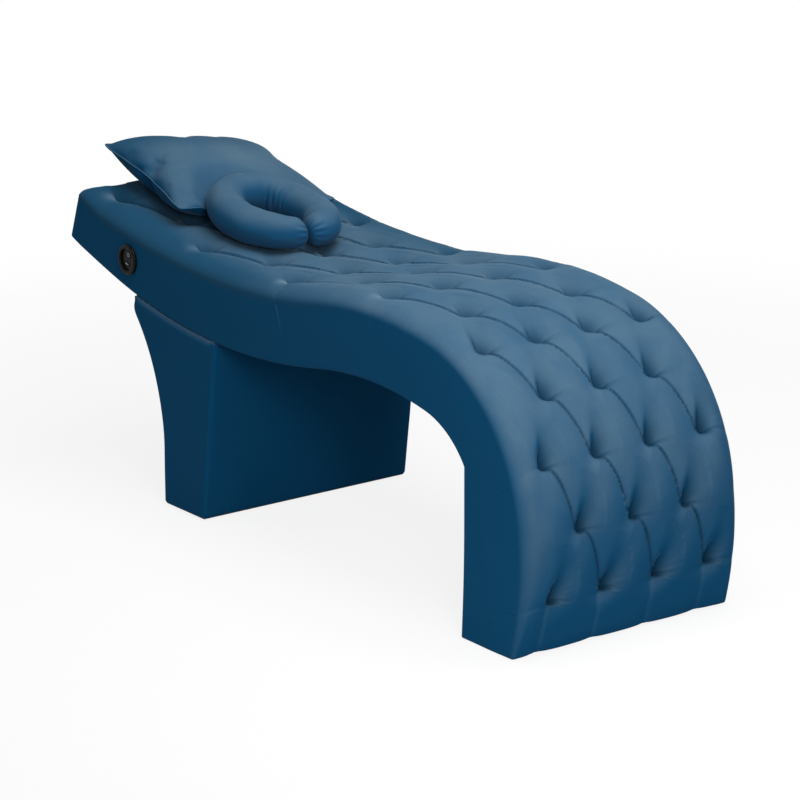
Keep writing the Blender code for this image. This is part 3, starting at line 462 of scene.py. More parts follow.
def closed_tube(name: str, loops: Array) -> Piece:
    """A body through closed loops, its two ends closed by rings that shrink to their middle.

    Args:
        name: The piece's name.
        loops: Points as loops by places round the loop by three.

    Returns:
        The linked object.
    """
    ahead = end_rings(loops[0], END_RINGS[::-1])
    after = end_rings(loops[-1], END_RINGS)
    stack = np.concatenate([np.array(ahead), loops, np.array(after)])
    rows, columns = stack.shape[:2]
    faces = tube_faces(rows, columns)
    points = np.concatenate([stack.reshape(-1, 3), [ahead[0].mean(0), after[-1].mean(0)]])
    start, end = rows * columns, rows * columns + 1
    for j in range(columns):
        k = (j + 1) % columns
        faces.append((start, k, j))
        faces.append((end, (rows - 1) * columns + j, (rows - 1) * columns + k))
    return mesh_piece(name, points, faces)


def round_corners(outline: list[Span], radius: float, sharp: float) -> Array:
    """Round the sharp corners of a closed outline.

    Args:
        outline: Points (x, z).
        radius: Radius of the rounding.
        sharp: Least turn in degrees of a corner that is rounded.

    Returns:
        The outline with an arc at each sharp corner.
    """
    points = [Vector(point) for point in outline]
    made = []
    for before, corner, after in zip(points[-1:] + points[:-1], points, points[1:] + points[:1]):
        back, ahead = (before - corner).normalized(), (after - corner).normalized()
        opening = back.angle(ahead)
        if degrees(pi - opening) < sharp:
            made.append(corner)
            continue
        reach = radius / tan(opening / 2)
        centre = corner + (back + ahead).normalized() * (radius / sin(opening / 2))
        first, last = corner + back * reach - centre, corner + ahead * reach - centre
        for step in range(ARC_STEPS + 1):
            made.append(centre + first.slerp(last, step / ARC_STEPS).normalized() * radius)
    return np.array([tuple(point) for point in made])


def resample(outline: Array, step: float) -> Array:
    """Points of a closed outline, evenly spaced about a step apart."""
    ring = np.concatenate([outline, outline[:1]])
    run = np.concatenate([[0.0], np.cumsum(np.linalg.norm(np.diff(ring, axis=0), axis=1))])
    places = np.linspace(0.0, run[-1], int(run[-1] / step) + 1)[:-1]
    return np.stack([np.interp(places, run, ring[:, i]) for i in range(ring.shape[1])], axis=-1)


def wander(first: Array, second: Array, scale: float, seed: int) -> Array:
    """Smooth unevenness between about -1 and 1 over two surface coordinates in metres."""
    draw = np.random.default_rng(seed)
    total = np.zeros(np.broadcast(first, second).shape)
    waves = 7
    for _ in range(waves):
        turn = draw.uniform(0, 2 * pi)
        wave = 2 * pi / (scale * draw.uniform(0.6, 1.6))
        run = first * cos(turn) + second * sin(turn)
        total += np.sin(wave * run + draw.uniform(0, 2 * pi))
    return 2 * total / waves


def swept(line: Array, ahead: Array, size: Array, angle: Array) -> Array:
    """Loops round a line.

    Args:
        line: Points of the line.
        ahead: Its direction at each point.
        size: Radius at each point and angle, or one for all.
        angle: Angles round the line, from its level side up.

    Returns:
        Points by angles by three.
    """
    ahead = unit(ahead)
    side = unit(np.cross(ahead, [0.0, 0.0, 1.0]))
    rise = np.cross(side, ahead)
    size = np.broadcast_to(size, (len(line), len(angle)))
    points = line[:, None] + side[:, None] * (size * np.cos(angle))[..., None]
    return points + rise[:, None] * (size * np.sin(angle))[..., None]


def soft_rise(value: Array, soft: float) -> Array:
    """A value where it is well above 0, fading to 0 below it."""
    return soft * np.logaddexp(0.0, value / soft)


def deselect() -> None:
    """Leave no object selected."""
    for item in bpy.context.view_layer.objects:
        item.select_set(False)


def make_active(piece: Piece) -> None:
    """Select one object alone and make it active."""
    deselect()
    piece.select_set(True)
    bpy.context.view_layer.objects.active = piece


@contextmanager
def edit_mode() -> Iterator[None]:
    """Work on the active object in edit mode."""
    bpy.ops.object.mode_set(mode="EDIT")
    yield
    bpy.ops.object.mode_set(mode="OBJECT")


def apply_modifier(piece: Piece, kind: str, **settings: object) -> None:
    """Add a modifier with its settings and apply it."""
    made = piece.modifiers.new(kind.lower(), kind)
    configure(made, settings)
    make_active(piece)
    bpy.ops.object.modifier_apply(modifier=made.name)


def dress(piece: Piece, finish: Material, slot: Slot, body: Body, *nodes: str) -> None:
    """Give a piece its finish and its body, and hide the nodes that it stands for."""
    piece.data.materials.clear()
    piece.data.materials.append(finish)
    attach(piece, body.value)
    if nodes:
        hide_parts(*nodes)
    LOG.info("%s: %d faces on %s", piece.name, len(piece.data.polygons), body.value)


# Finishes

class Wiring:
    """Nodes and links of one material or node group."""

    def __init__(self, tree: bpy.types.NodeTree) -> None:
        """Start with an empty tree."""
        self.tree = tree
        tree.nodes.clear()

    def add(self, kind: str, **settings: object) -> Node:
        """Add a node; settings are its properties."""
        node = self.tree.nodes.new(kind)
        configure(node, settings)
        return node

    def link(self, start: Socket, end: Socket) -> None:
        """Join two sockets."""
        self.tree.links.new(start, end)

    def feed(self, end: Socket, value: object) -> None:
        """Lead a socket to an input, or set a plain value on it."""
        if isinstance(value, Socket):
            self.link(value, end)
        else:
            end.default_value = value

    def fill(self, node: Node, values: dict[str, object]) -> None:
        """Feed a node's inputs by name."""
        for key, value in values.items():
            self.feed(node.inputs[key], value)

    def coordinate(self, name: str = "Object") -> Socket:
        """One kind of coordinates over the surface."""
        return self.add("ShaderNodeTexCoord").outputs[name]

    def kept(self, name: Mark) -> Socket:
        """A value that pieces keep on their points."""
        return self.add("ShaderNodeAttribute", attribute_name=name.value).outputs["Fac"]

    def noise(self, place: Socket, scale: object, detail: float = 2.0, distortion: float = 0.0) -> Socket:
        """A noise over a place, as a value about 0.5; its scale is a number or a socket."""
        node = self.add("ShaderNodeTexNoise")
        self.fill(node, {"Vector": place, "Scale": scale, "Detail": detail, "Distortion": distortion})
        return node.outputs["Fac"]

    def stretch(self, place: Socket, scale: Colour) -> Socket:
        """A place stretched along its axes."""
        node = self.add("ShaderNodeMapping")
        self.fill(node, {"Vector": place, "Scale": scale})
        return node.outputs["Vector"]

    def span(self, value: Socket, given: Span, to: Span = (0.0, 1.0)) -> Socket:
        """A value's range spread to another one, smoothly clamped."""
        node = self.add("ShaderNodeMapRange", interpolation_type="SMOOTHSTEP")
        self.link(value, node.inputs["Value"])
        for key, number in zip(("From Min", "From Max", "To Min", "To Max"), (*given, *to)):
            node.inputs[key].default_value = number
        return node.outputs["Result"]

    def mix(self, share: Socket, first: object, second: object) -> Socket:
        """Two colours, each a socket or a plain colour, mixed by a share."""
        node = self.add("ShaderNodeMix", data_type="RGBA")
        self.link(share, node.inputs["Factor"])
        colour_ends = [end for end in node.inputs if end.type == "RGBA"]
        for end, colour in zip(colour_ends, (first, second)):
            self.feed(end, colour if isinstance(colour, Socket) else (*colour, 1.0))
        return next(end for end in node.outputs if end.type == "RGBA")

    def mix_shaders(self, share: Socket, first: Socket, second: Socket) -> Socket:
        """Two shaders mixed by a share."""
        node = self.add("ShaderNodeMixShader")
        for start, end in zip((share, first, second), node.inputs):
            self.link(start, end)
        return node.outputs["Shader"]

    def math(self, kind: str, *values: object) -> Socket:
        """A sum over values, each a socket or a number."""
        node = self.add("ShaderNodeMath", operation=kind)
        for end, value in zip(node.inputs, values):
            self.feed(end, value)
        return node.outputs["Value"]


class Effect(str, Enum):
    """Shader groups that finishes share."""

    NAP = "velvet nap"
    GRAIN = "wood grain"
    DUST = "handling dust"


Sockets = bpy.types.bpy_prop_collection
Group = tuple[Wiring, Sockets, Sockets]


def group_tree(effect: Effect, inputs: tuple[str, ...], outputs: tuple[str, ...]) -> Group:
    """A shader group's nodes, with the sockets that it is given and those that it makes."""
    tree = bpy.data.node_groups.new(effect.value, "ShaderNodeTree")
    tree.interface.new_socket("Place", in_out="INPUT", socket_type="NodeSocketVector")
    for way, names in (("INPUT", inputs), ("OUTPUT", outputs)):
        for name in names:
            tree.interface.new_socket(name, in_out=way, socket_type="NodeSocketFloat")
    w = Wiring(tree)
    return w, w.add("NodeGroupInput").outputs, w.add("NodeGroupOutput").inputs


class Effects:
    """The shared shader groups, each built once."""

    def __init__(self) -> None:
        """Build the three groups."""
        self.trees = {Effect.NAP: self._nap(), Effect.GRAIN: self._grain(), Effect.DUST: self._dust()}

    def _nap(self) -> bpy.types.NodeTree:
        """Brushed patches and the fine pile of velvet."""
        w, given, made = group_tree(Effect.NAP, ("Patch Scale", "Pile Scale"), ("Patch", "Streak", "Pile"))
        patch = w.noise(given["Place"], given["Patch Scale"], detail=3.0, distortion=0.8)
        w.link(w.span(patch, (0.32, 0.68)), made["Patch"])
        streak = w.noise(w.stretch(given["Place"], (1.0, 3.2, 1.0)), 42.0, detail=4.0)
        w.link(w.span(streak, (0.3, 0.7)), made["Streak"])
        w.link(w.noise(given["Place"], given["Pile Scale"]), made["Pile"])
        return w.tree

    def _grain(self) -> bpy.types.NodeTree:
        """Growth bands and fine fibres along X."""
        w, given, made = group_tree(Effect.GRAIN, ("Band Scale",), ("Band", "Fibre"))
        wave = w.add("ShaderNodeTexWave", bands_direction="DIAGONAL")
        bent = w.stretch(given["Place"], (0.12, 1.0, 1.0))
        w.fill(wave, {"Vector": bent, "Scale": given["Band Scale"], "Distortion": 5.0, "Detail": 3.0})
        w.link(wave.outputs["Fac"], made["Band"])
        fibre = w.noise(w.stretch(given["Place"], (0.05, 1.0, 1.0)), 420.0, detail=3.0)
        w.link(fibre, made["Fibre"])
        return w.tree

    def _dust(self) -> bpy.types.NodeTree:
        """Uneven handling and fine grit on hard pieces."""
        w, given, made = group_tree(Effect.DUST, ("Scale",), ("Smear", "Grit"))
        smear = w.noise(given["Place"], given["Scale"], detail=5.0)
        w.link(w.span(smear, (0.3, 0.7)), made["Smear"])
        w.link(w.noise(given["Place"], 2600.0), made["Grit"])
        return w.tree

    def place(self, w: Wiring, effect: Effect, **values: float) -> Sockets:
        """Put a group into a material on Object coordinates.

        Args:
            w: The material's nodes.
            effect: The group.
            values: Its value inputs, with spaces as underscores.

        Returns:
            The group's outputs.
        """
        node = w.add("ShaderNodeGroup", node_tree=self.trees[effect])
        w.link(w.coordinate(), node.inputs["Place"])
        w.fill(node, {key.replace("_", " "): value for key, value in values.items()})
        return node.outputs


def start_material(name: str) -> tuple[Material, Wiring, Node]:
    """A material with a Principled shader on its output."""
    made = bpy.data.materials.new(name)
    made.use_nodes = True
    wiring = Wiring(made.node_tree)
    shader = wiring.add("ShaderNodeBsdfPrincipled")
    wiring.link(shader.outputs["BSDF"], wiring.add("ShaderNodeOutputMaterial").inputs["Surface"])
    return made, wiring, shader


def bump(w: Wiring, shader: Node, height: Socket, depth: Span) -> None:
    """Lead a height to a shader's normal, at a bump's distance and strength."""
    node = w.add("ShaderNodeBump")
    distance, strength = depth
    w.fill(node, {"Height": height, "Distance": distance, "Strength": strength})
    w.link(node.outputs["Normal"], shader.inputs["Normal"])


@dataclass(frozen=True)
class VelvetFinish:
    """Short-pile velvet in its deep colour; a paler lit tone is painted in where it faces up or towards the
    lamps, with random brushed patches, and painted shade and painted light come from marks on the pieces.
    """

    name: str = "velvet"
    deep: Colour = (0.0030, 0.073, 0.174)
    # Darker tone of the painted shade.
    standing: Colour = (0.014, 0.072, 0.142)
    # Pale tone of the painted light spots.
    crushed: Colour = (0.126, 0.212, 0.284)
    # Paler tone of brushed pile, mixed in mostly as painted light where the surface faces the light.
    brushed_and_lit: Colour = (0.064, 0.132, 0.204)
    # Dark tone of the painted shade in the tufts and creases.
    shaded: Colour = (0.0020, 0.022, 0.048)
    shine: float = 0.03
    roughness: Span = (0.78, 0.94)
    sheen: float = 0.12
    sheen_roughness: float = 0.30
    sheen_tint: Colour = (0.72, 0.95, 1.0)
    patch_scale: float = 7.0
    patchy: Span = (0.32, 0.79)
    streaky: float = 0.10
    pile_scale: float = 1100.0
    pile_range: Span = (0.2, 0.8)
    pile_bump: Span = (0.0006, 0.35)
    # Painted light: how far facing up, and on the shin facing one way towards the lamps, lightens the tone.
    up_light_range: Span = (0.05, 0.96)
    up_light_share: Span = (0.02, 0.94)
    shin_light_way: Colour = (0.33, -0.50, 0.80)
    shin_light_range: Span = (0.0, 0.95)
    shin_light_share: Span = (0.02, 0.92)
    tuck_shade_range: Span = (0.1, 0.8)
    tuck_shade_share: Span = (1.0, 0.45)

    def facing_light(self, w: Wiring) -> Socket:
        """Share of painted light: where the surface faces up, and on the shin where it faces one way towards
        the lamps.
        """
        normal = w.coordinate("Normal")
        facing = w.add("ShaderNodeVectorMath", operation="DOT_PRODUCT")
        for end, value in zip(facing.inputs, (normal, self.shin_light_way)):
            w.feed(end, value)
        shin = w.span(facing.outputs["Value"], self.shin_light_range, self.shin_light_share)
        ways = w.add("ShaderNodeSeparateXYZ")
        w.link(normal, ways.inputs["Vector"])
        level = w.span(ways.outputs["Z"], self.up_light_range, self.up_light_share)
        return w.math("MULTIPLY_ADD", w.math("SUBTRACT", shin, level), w.kept(Mark.SHIN), level)

    def build(self, effects: Effects) -> Material:
        """Make the material."""
        made, w, shader = start_material(self.name)
        nap = effects.place(w, Effect.NAP, Patch_Scale=self.patch_scale, Pile_Scale=self.pile_scale)
        patch = w.math("MULTIPLY_ADD", nap["Patch"], *self.patchy)
        streak = w.math("MULTIPLY_ADD", nap["Streak"], self.streaky, patch)
        # Painted shade in the tufts and creases darkens the colour and keeps the lit tone out.
        tuck = w.kept(Mark.TUCK)
        outside_tuck_shade = w.span(tuck, self.tuck_shade_range, self.tuck_shade_share)
        # Painted light mixes in the paler tone, with random brushed patches, and is kept out of the painted
        # tuck shade.
        share = w.math("MULTIPLY", w.math("MULTIPLY", self.facing_light(w), streak), outside_tuck_shade)
        colour = w.mix(share, self.deep, self.brushed_and_lit)
        # Painted shade, then painted light spots, from marks on the pieces.
        colour = w.mix(w.kept(Mark.STANDING), colour, self.standing)
        colour = w.mix(w.kept(Mark.CRUSHED), colour, self.crushed)
        # Painted shade in the tufts and creases.
        w.link(w.mix(tuck, colour, self.shaded), shader.inputs["Base Color"])
        w.link(w.span(nap["Pile"], self.pile_range, self.roughness), shader.inputs["Roughness"])
        w.fill(shader, {"Specular IOR Level": self.shine, "Sheen Weight": self.sheen,
                        "Sheen Roughness": self.sheen_roughness, "Sheen Tint": (*self.sheen_tint, 1.0)})
        bump(w, shader, nap["Pile"], self.pile_bump)
        return made


@dataclass(frozen=True)
class WoodFinish:
    """Sawn wood or board with bands and fibres."""

    name: str
    light: Colour
    dark: Colour
    bands: float
    roughness: float = 0.62
    rougher: float = 0.16
    band_share: float = 0.5
    fibre_bump: Span = (0.0004, 0.3)

    def build(self, effects: Effects) -> Material:
        """Make the material."""
        made, w, shader = start_material(self.name)
        grain = effects.place(w, Effect.GRAIN, Band_Scale=self.bands)
        fibre = w.span(grain["Fibre"], (0.3, 0.7), (0.0, 1 - self.band_share))
        share = w.math("MULTIPLY_ADD", grain["Band"], self.band_share, fibre)
        w.link(w.mix(share, self.light, self.dark), shader.inputs["Base Color"])
        uneven = (self.roughness, self.roughness + self.rougher)
        w.link(w.span(grain["Fibre"], (0.2, 0.8), uneven), shader.inputs["Roughness"])
        bump(w, shader, grain["Fibre"], self.fibre_bump)
        return made


@dataclass(frozen=True)
class FoamFinish:
    """Open-cell upholstery foam."""

    name: str = "upholstery foam"
    light: Colour = (0.80, 0.74, 0.52)
    dark: Colour = (0.60, 0.52, 0.33)
    pores: float = 420.0
    roughness: Span = (0.86, 0.98)
    roughness_scale: float = 40.0
    pore_bump: Span = (0.0008, 0.6)

    def build(self, effects: Effects) -> Material:
        """Make the material."""
        made, w, shader = start_material(self.name)
        place = w.coordinate()
        cells = w.add("ShaderNodeTexVoronoi")
        w.fill(cells, {"Vector": place, "Scale": self.pores})
        wall = w.span(cells.outputs["Distance"], (0.1, 0.6))
        w.link(w.mix(wall, self.dark, self.light), shader.inputs["Base Color"])
        uneven = w.span(w.noise(place, self.roughness_scale), (0.3, 0.7), self.roughness)
        w.link(uneven, shader.inputs["Roughness"])
        bump(w, shader, cells.outputs["Distance"], self.pore_bump)
        return made


@dataclass(frozen=True)
class HardFinish:
    """Plastic, metal or lacquer with handling marks."""

    name: str
    colour: Colour
    smear: Colour
    roughness: float
    metallic: float = 0.0
    coat: float = 0.0
    grit: float = 0.15
    specular: float = 0.5
    smear_scale: float = 70.0
    rougher: float = 0.12
    coat_roughness: float = 0.06
    grit_depth: float = 0.0001

    def build(self, effects: Effects) -> Material:
        """Make the material."""
        made, w, shader = start_material(self.name)
        dust = effects.place(w, Effect.DUST, Scale=self.smear_scale)
        w.link(w.mix(dust["Smear"], self.colour, self.smear), shader.inputs["Base Color"])
        uneven = (self.roughness, self.roughness + self.rougher)
        w.link(w.span(dust["Smear"], (0.0, 1.0), uneven), shader.inputs["Roughness"])
        w.fill(shader, {"Metallic": self.metallic, "Coat Weight": self.coat,
                        "Coat Roughness": self.coat_roughness, "Specular IOR Level": self.specular})
        bump(w, shader, dust["Grit"], (self.grit_depth, self.grit))
        return made


FINISHES = {
    Slot.VELVET: VelvetFinish(),
    Slot.FOAM: FoamFinish(),
    Slot.PLYWOOD: WoodFinish("birch plywood", (0.66, 0.50, 0.32), (0.50, 0.35, 0.20), 60.0),
    Slot.PINE: WoodFinish("sawn pine", (0.72, 0.54, 0.31), (0.52, 0.34, 0.16), 24.0),
    Slot.HARDBOARD: WoodFinish("hardboard", (0.30, 0.19, 0.11), (0.22, 0.13, 0.07), 140.0, 0.7),
    Slot.STEEL: HardFinish("zinc steel", (0.58, 0.59, 0.60), (0.46, 0.47, 0.49), 0.32, 1.0),
    Slot.GLIDE: HardFinish("glide plastic", (0.035, 0.035, 0.036), (0.055, 0.055, 0.055), 0.45),
    Slot.GLOSS: HardFinish("gloss black", (0.004, 0.004, 0.005), (0.006, 0.006, 0.007), 0.26,
                           coat=0.02, grit=0.05, specular=0.06),
    Slot.MATTE: HardFinish("matte black", (0.018, 0.018, 0.019), (0.030, 0.030, 0.031), 0.55),
    Slot.KEY: HardFinish("key plastic", (0.008, 0.008, 0.009), (0.012, 0.012, 0.014), 0.30,
                         coat=0.02, grit=0.1, specular=0.10),
    Slot.BOARD: HardFinish("circuit board", (0.015, 0.11, 0.045), (0.02, 0.15, 0.06), 0.38, coat=0.3),
    Slot.SHEATH: HardFinish("lead sheath", (0.022, 0.022, 0.023), (0.034, 0.034, 0.034), 0.5),
}
# Pale print marks on the keys, made pale to serve as painted glints.
PRINT_PAINTED_AS_GLINT = HardFinish("pale key print painted as glint", (0.52, 0.54, 0.56), (0.60, 0.62, 0.64), 0.35)


# Upholstered body

@dataclass
class TuftField:
    """Height of the deep tufted surface over the bed's plain top, and the painted shade and painted light
    that its velvet shows.
    """

    shape: BedShape
    crown: float = 0.013
    hollow: float = -0.005
    valley: float = 0.034
    ridge_share: float = 0.3
    plain_puff: float = 0.62
    uneven: float = 0.0008
    uneven_scale: float = 0.11
    uneven_calm: float = 0.5
    pit_floor: float = -0.037
    pit_reach: Span = (0.008, 0.033)
    pit_half: Span = (0.010, 0.017)
    pit_lean: float = 0.22
    pit_shift: float = 0.004
    pit_fall: Span = (5.0, 2.0)
    pit_sizes: float = 4.0
    crease: float = 0.0042
    crease_reach: float = 0.007
    crease_start: float = 0.008
    crease_end: float = 0.010
    crease_points: int = 25
    straight: float = 0.40
    seat_crease: float = 0.9
    seat_crease_rows: float = 2.0
    lip: float = 0.0014
    lip_line: Span = (0.0015, 0.0024)
    edge_line: float = 0.24
    edge_slack: float = 0.01
    edge_calm: Span = (0.005, 0.06)
    row_calm: Span = (0.10, 0.5)
    strong_row: int = 8
    foot_pleat: float = 0.0042
    foot_pleat_shift: float = 0.008
    foot_pleat_widths: Span = (0.018, 0.003)
    foot_pleat_edge: float = 0.04
    edge_pleat: float = 0.0016
    strong_edge_pleat: float = 0.0060
    edge_pleat_slant: float = 0.22
    edge_pleat_widths: Span = (0.022, 0.007)
    edge_pleat_start: float = 0.01
    gather_depths: Span = (0.0002, 0.0006)
    gather_ring: Span = (2.3, 0.8)
    gather_way: float = 1.3
    gather_waves: tuple[int, int] = (19, 23)
    gather_phase: float = 6.28
    outer_tuft: float = 0.2
    crease_shade: float = 0.66
    crease_shade_width: float = 0.0014
    crease_fading: Span = (0.84, 0.16)
    fading_scale: float = 0.07
    pit_shade: float = 0.92
    pit_shade_cover: Span = (0.95, 0.6)
    pit_shade_fall: Span = (4.4, 1.6)
    gather_shade: float = 420.0
    # Painted light spots beside the seat's tufts.
    light_spot_share: Span = (0.3, 0.9)
    light_spot_along: Span = (-0.016, 0.020)
    light_spot_across: Span = (-0.016, 0.022)
    # Painted shade at the head end and on the rolls before the knee.
    shade_roll: Span = (0.19, 0.10)
    shade_rows: int = 3
    shade_head: float = 0.75
    shade_head_run: float = 0.42
    shade_power: float = 0.7

    @property
    def swing(self) -> float:
        """How far a crease swings sideways from one row to the next."""
        return self.shape.column_pitch / 2 - self.crease_start - self.crease_end

    def bow(self, share: Array) -> Array:
        """Sideways share of a crease that has gone a share of the way to the next row."""
        curved = np.sqrt(held(1 - (1 - share) ** 2))
        return self.straight * share + (1 - self.straight) * curved

    def bow_slope(self, share: Array) -> Array:
        """Sideways speed of a crease that has gone a share of the way to the next row."""
        curved = (1 - share) / np.sqrt(np.clip(1 - (1 - share) ** 2, 0.01, 1))
        return self.straight + (1 - self.straight) * curved

    def crease_offset(self, along: Array, w: Array) -> tuple[Array, ...]:
        """Where places lie beside the nearest crease.

        Args:
            along: Distances along the top curve.
            w: Distances across the surface from the middle.

        Returns:
            Signed distance across, signed square distance, and 1 where there is a crease.
        """
        shape = self.shape
        w = w - shape.tuft_shift
        row = shape.row_at(along)
        number = np.floor(row)
        share = row - number
        half = shape.column_pitch / 2
        shift = np.where(np.mod(number, 2) == 0, half, 0.0)
        swung = self.swing * self.bow(share)
        offset = from_whole(w - self.crease_start - swung - shift, shape.column_pitch)
        slope = self.swing / shape.pitch_at(along) * self.bow_slope(share)
        away = offset / np.sqrt(1 + slope ** 2)
        start = w - offset - self.crease_start - swung
        edge = self.edge_line + self.edge_slack
        inside = (start > -edge) & (start + half < edge) & (row < 0) & (row > 1 - len(shape.lines))
        return offset, away, inside.astype(float)

    def crease_tree(self) -> KDTree:
        """Points along every crease, to be searched by distance."""
        shape = self.shape
        points = []
        for number, (low, high) in enumerate(zip(shape.lines[1:], shape.lines), 1):
            for start in shape.row_places(number):
                if start + shape.column_pitch / 2 > self.edge_line + self.edge_slack:
                    continue
                for share in np.linspace(0.0, 1.0, self.crease_points):
                    across = start + self.crease_start + self.swing * float(self.bow(share))
                    points.append((low + (high - low) * share, across, 0.0))
        return search_tree(points)

    def from_creases(self, along: Array, w: Array) -> Array:
        """Distance of places from the nearest crease."""
        tree = self.crease_tree()
        found = [tree.find((a, b, 0.0))[2] for a, b in zip(along.ravel().tolist(), w.ravel().tolist())]
        return np.array(found).reshape(along.shape)

    def painted_tuck_shade(self, along: Array, w: Array) -> Array:
        """Painted shade in the tufts and creases, 0 to 1: along the creases, in the pits and in their
        gathers.
        """
        _, away, inside = self.crease_offset(along, w)
        least, more = self.crease_fading
        fading = least + more * wander(along, w, self.fading_scale, Draw.CREASE_SHADE)
        deep = self.crease_shade * inside * fading * np.exp(-(away / self.crease_shade_width) ** 2)
        before, after = self.pit_shade_cover
        fall, softer = self.pit_shade_fall
        for number, (tuft_along, tuft_w) in enumerate(self.shape.tufts()):
            back, side = along - tuft_along, w - tuft_w
            reach, lean = self.pit_reach_at(back, side)
            covered = np.where(back > 0, after, before) * reach
            deep = np.maximum(deep, self.pit_shade / (1 + covered ** (fall - softer * lean)))
            lines = held(self.gathers(reach, back, side, number)) ** 2
            deep = np.maximum(deep, self.gather_shade * self.gather_strength(number) * lines)
        return deep

    def crushed(self, along: Array, w: Array) -> Array:
        """Painted light beside the seat's tufts, where the puffs bend down to them, 0 to 1."""
        total = np.zeros(w.shape)
        for number, (tuft_along, tuft_w) in enumerate(self.shape.tufts()):
            if tuft_along > self.shape.lines[self.shape.shin_rows]:
                continue
            share = np.random.default_rng(Draw.CRUSHED_PILE + number).uniform(*self.light_spot_share)
            spot = bell(along - tuft_along, self.light_spot_along) * bell(w - tuft_w, self.light_spot_across)
            total = np.maximum(total, share * spot)
        return total

    def standing(self, along: Array, w: Array) -> Array:
        """Painted shade at the head end and on the rolls before the knee, 0 to 1."""
        lines = self.shape.lines
        knee, seat = lines[self.shape.shin_rows], lines[self.shape.shin_rows + self.shade_rows]
        roll = ramp(np.abs(w), self.shade_roll) * held((knee - along) / (knee - seat))
        head = held(1 - along / self.shade_head_run) ** self.shade_power
        return held(roll + self.shade_head * head)

    def calm(self, row: Array, w: Array) -> Array:
        """How far the tufting has run out towards the rolls and both ends, 0 to 1."""
        calm = ramp(np.abs(w) - self.edge_line, self.edge_calm)
        for past in (row, 1 - len(self.shape.lines) - row):
            calm = np.maximum(calm, ramp(past, self.row_calm))
        return calm * calm * (3 - 2 * calm)

    def height(self, along: Array, w: Array) -> Array:
        """Height over the plain top.

        Args:
            along: Distances along the top curve.
            w: Distances across the surface from the middle.

        Returns:
            Heights in metres.
        """
        shape = self.shape
        row = shape.row_at(along)
        column = (w - shape.tuft_shift) / (shape.column_pitch / 2)
        _, away, inside = self.crease_offset(along, w)
        ridges = np.sin(pi * (row + column - 1) / 2) ** 2
        puffs = 1 - np.exp(-(self.from_creases(along, w) / self.valley) ** 2)
        puffs = self.ridge_share * ridges + (1 - self.ridge_share) * puffs
        calm = self.calm(row, w)
        height = self.hollow + self.crown * (puffs * (1 - calm) + self.plain_puff * calm)
        groove = -self.crease * np.exp(np.minimum(away, 0) / self.crease_reach)
        groove = np.where(away > 0, self.lip * bell(away, self.lip_line), groove)
        sharper = 1 + self.seat_crease * held((-row - shape.shin_rows) / self.seat_crease_rows)
        height += sharper * groove * inside + self.foot_pleats(along, w) + self.edge_pleats(along, w)
        uneven = self.uneven * wander(along, w, self.uneven_scale, Draw.PUFFS)
        height += uneven * (1 - self.uneven_calm * calm)
        for number, (tuft_along, tuft_w) in enumerate(shape.tufts()):
            height = self.sink(height, along - tuft_along, w - tuft_w, number)
        return height

    def foot_pleats(self, along: Array, w: Array) -> Array:
        """Soft pleats from the lowest tufts to the floor."""
        pitch = self.shape.column_pitch
        from_tuft = w - self.shape.tuft_shift + pitch / 2 + self.foot_pleat_shift
        shown = held(self.shape.row_at(along) / self.row_calm[0])
        shown = shown * (np.abs(w) < self.edge_line + self.foot_pleat_edge)
        return -self.foot_pleat * fold(from_whole(from_tuft, pitch), *self.foot_pleat_widths) * shown

    def edge_pleats(self, along: Array, w: Array) -> Array:
        """Pleats from the outer tufts over the rolled edges."""
        total = np.zeros(w.shape)
        beyond = np.abs(w) - self.edge_line
        shown = held(beyond / self.edge_pleat_start)
        for number, line in enumerate(self.shape.lines[::2]):
            deep = self.strong_edge_pleat if 2 * number == self.strong_row else self.edge_pleat
            beside = along - line - self.edge_pleat_slant * beyond
            total -= deep * fold(beside, *self.edge_pleat_widths) * shown
        return total

    def sink(self, height: Array, back: Array, side: Array, number: int) -> Array:
        """Draw the surface down to one tuft: steep on the near and foot side, with gathers on the far side.

        Args:
            height: Heights so far.
            back: Distances along from the tuft, towards the foot.
            side: Distances across from the tuft, towards the far side.
            number: The tuft's number, which sets its gathers.

        Returns:
            The new heights.
        """
        reach, lean = self.pit_reach_at(back, side)
        close = reach < self.pit_sizes
        fall, softer = self.pit_fall
        share = 1 / (1 + reach[close] ** (fall - softer * lean[close]))
        waves = self.gathers(reach[close], back[close], side[close], number)
        height = height.copy()
        drawn = height[close] - self.gather_strength(number) * waves
        height[close] = drawn * (1 - share) + self.pit_floor * share
        return height

    def gathers(self, reach: Array, back: Array, side: Array, number: int) -> Array:
        """Waves, from -1 to 1, that fan out from one tuft towards the far side."""
        turn = np.arctan2(side, back)
        draw = np.random.default_rng(Draw.GATHERS + number)
        shown = bell(reach, self.gather_ring) * held(np.cos(turn - self.gather_way)) ** 3
        waves = draw.integers(*self.gather_waves)
        return shown * np.sin(waves * turn + draw.uniform(0, self.gather_phase))

    def pit_reach_at(self, back: Array, side: Array) -> tuple[Array, Array]:
        """Distance from a tuft in sizes of its pit, and how far that way leads to the pit's long side."""
        size = hypot(1.0, self.pit_lean)
        aside = side - self.pit_shift
        trail = (-back + self.pit_lean * aside) / size
        aside = (aside + self.pit_lean * back) / size
        low, high = self.pit_reach
        near, far = self.pit_half
        lengthwise = trail / np.where(trail > 0, high, low)
        sideways = aside / np.where(aside > 0, far, near)
        reach = np.hypot(lengthwise, sideways)
        return reach, (lengthwise + sideways) / np.maximum(reach, SAME_PLACE)

    def gather_strength(self, number: int) -> float:
        """Depth of the gathers round one tuft: deep in the lowest row and at the far edge."""
        along, across = self.shape.tufts()[number]
        lowest = along > self.shape.lines[1]
        outer = across > self.outer_tuft and along > self.shape.lines[self.shape.shin_rows]
        return self.gather_depths[int(lowest or outer)]


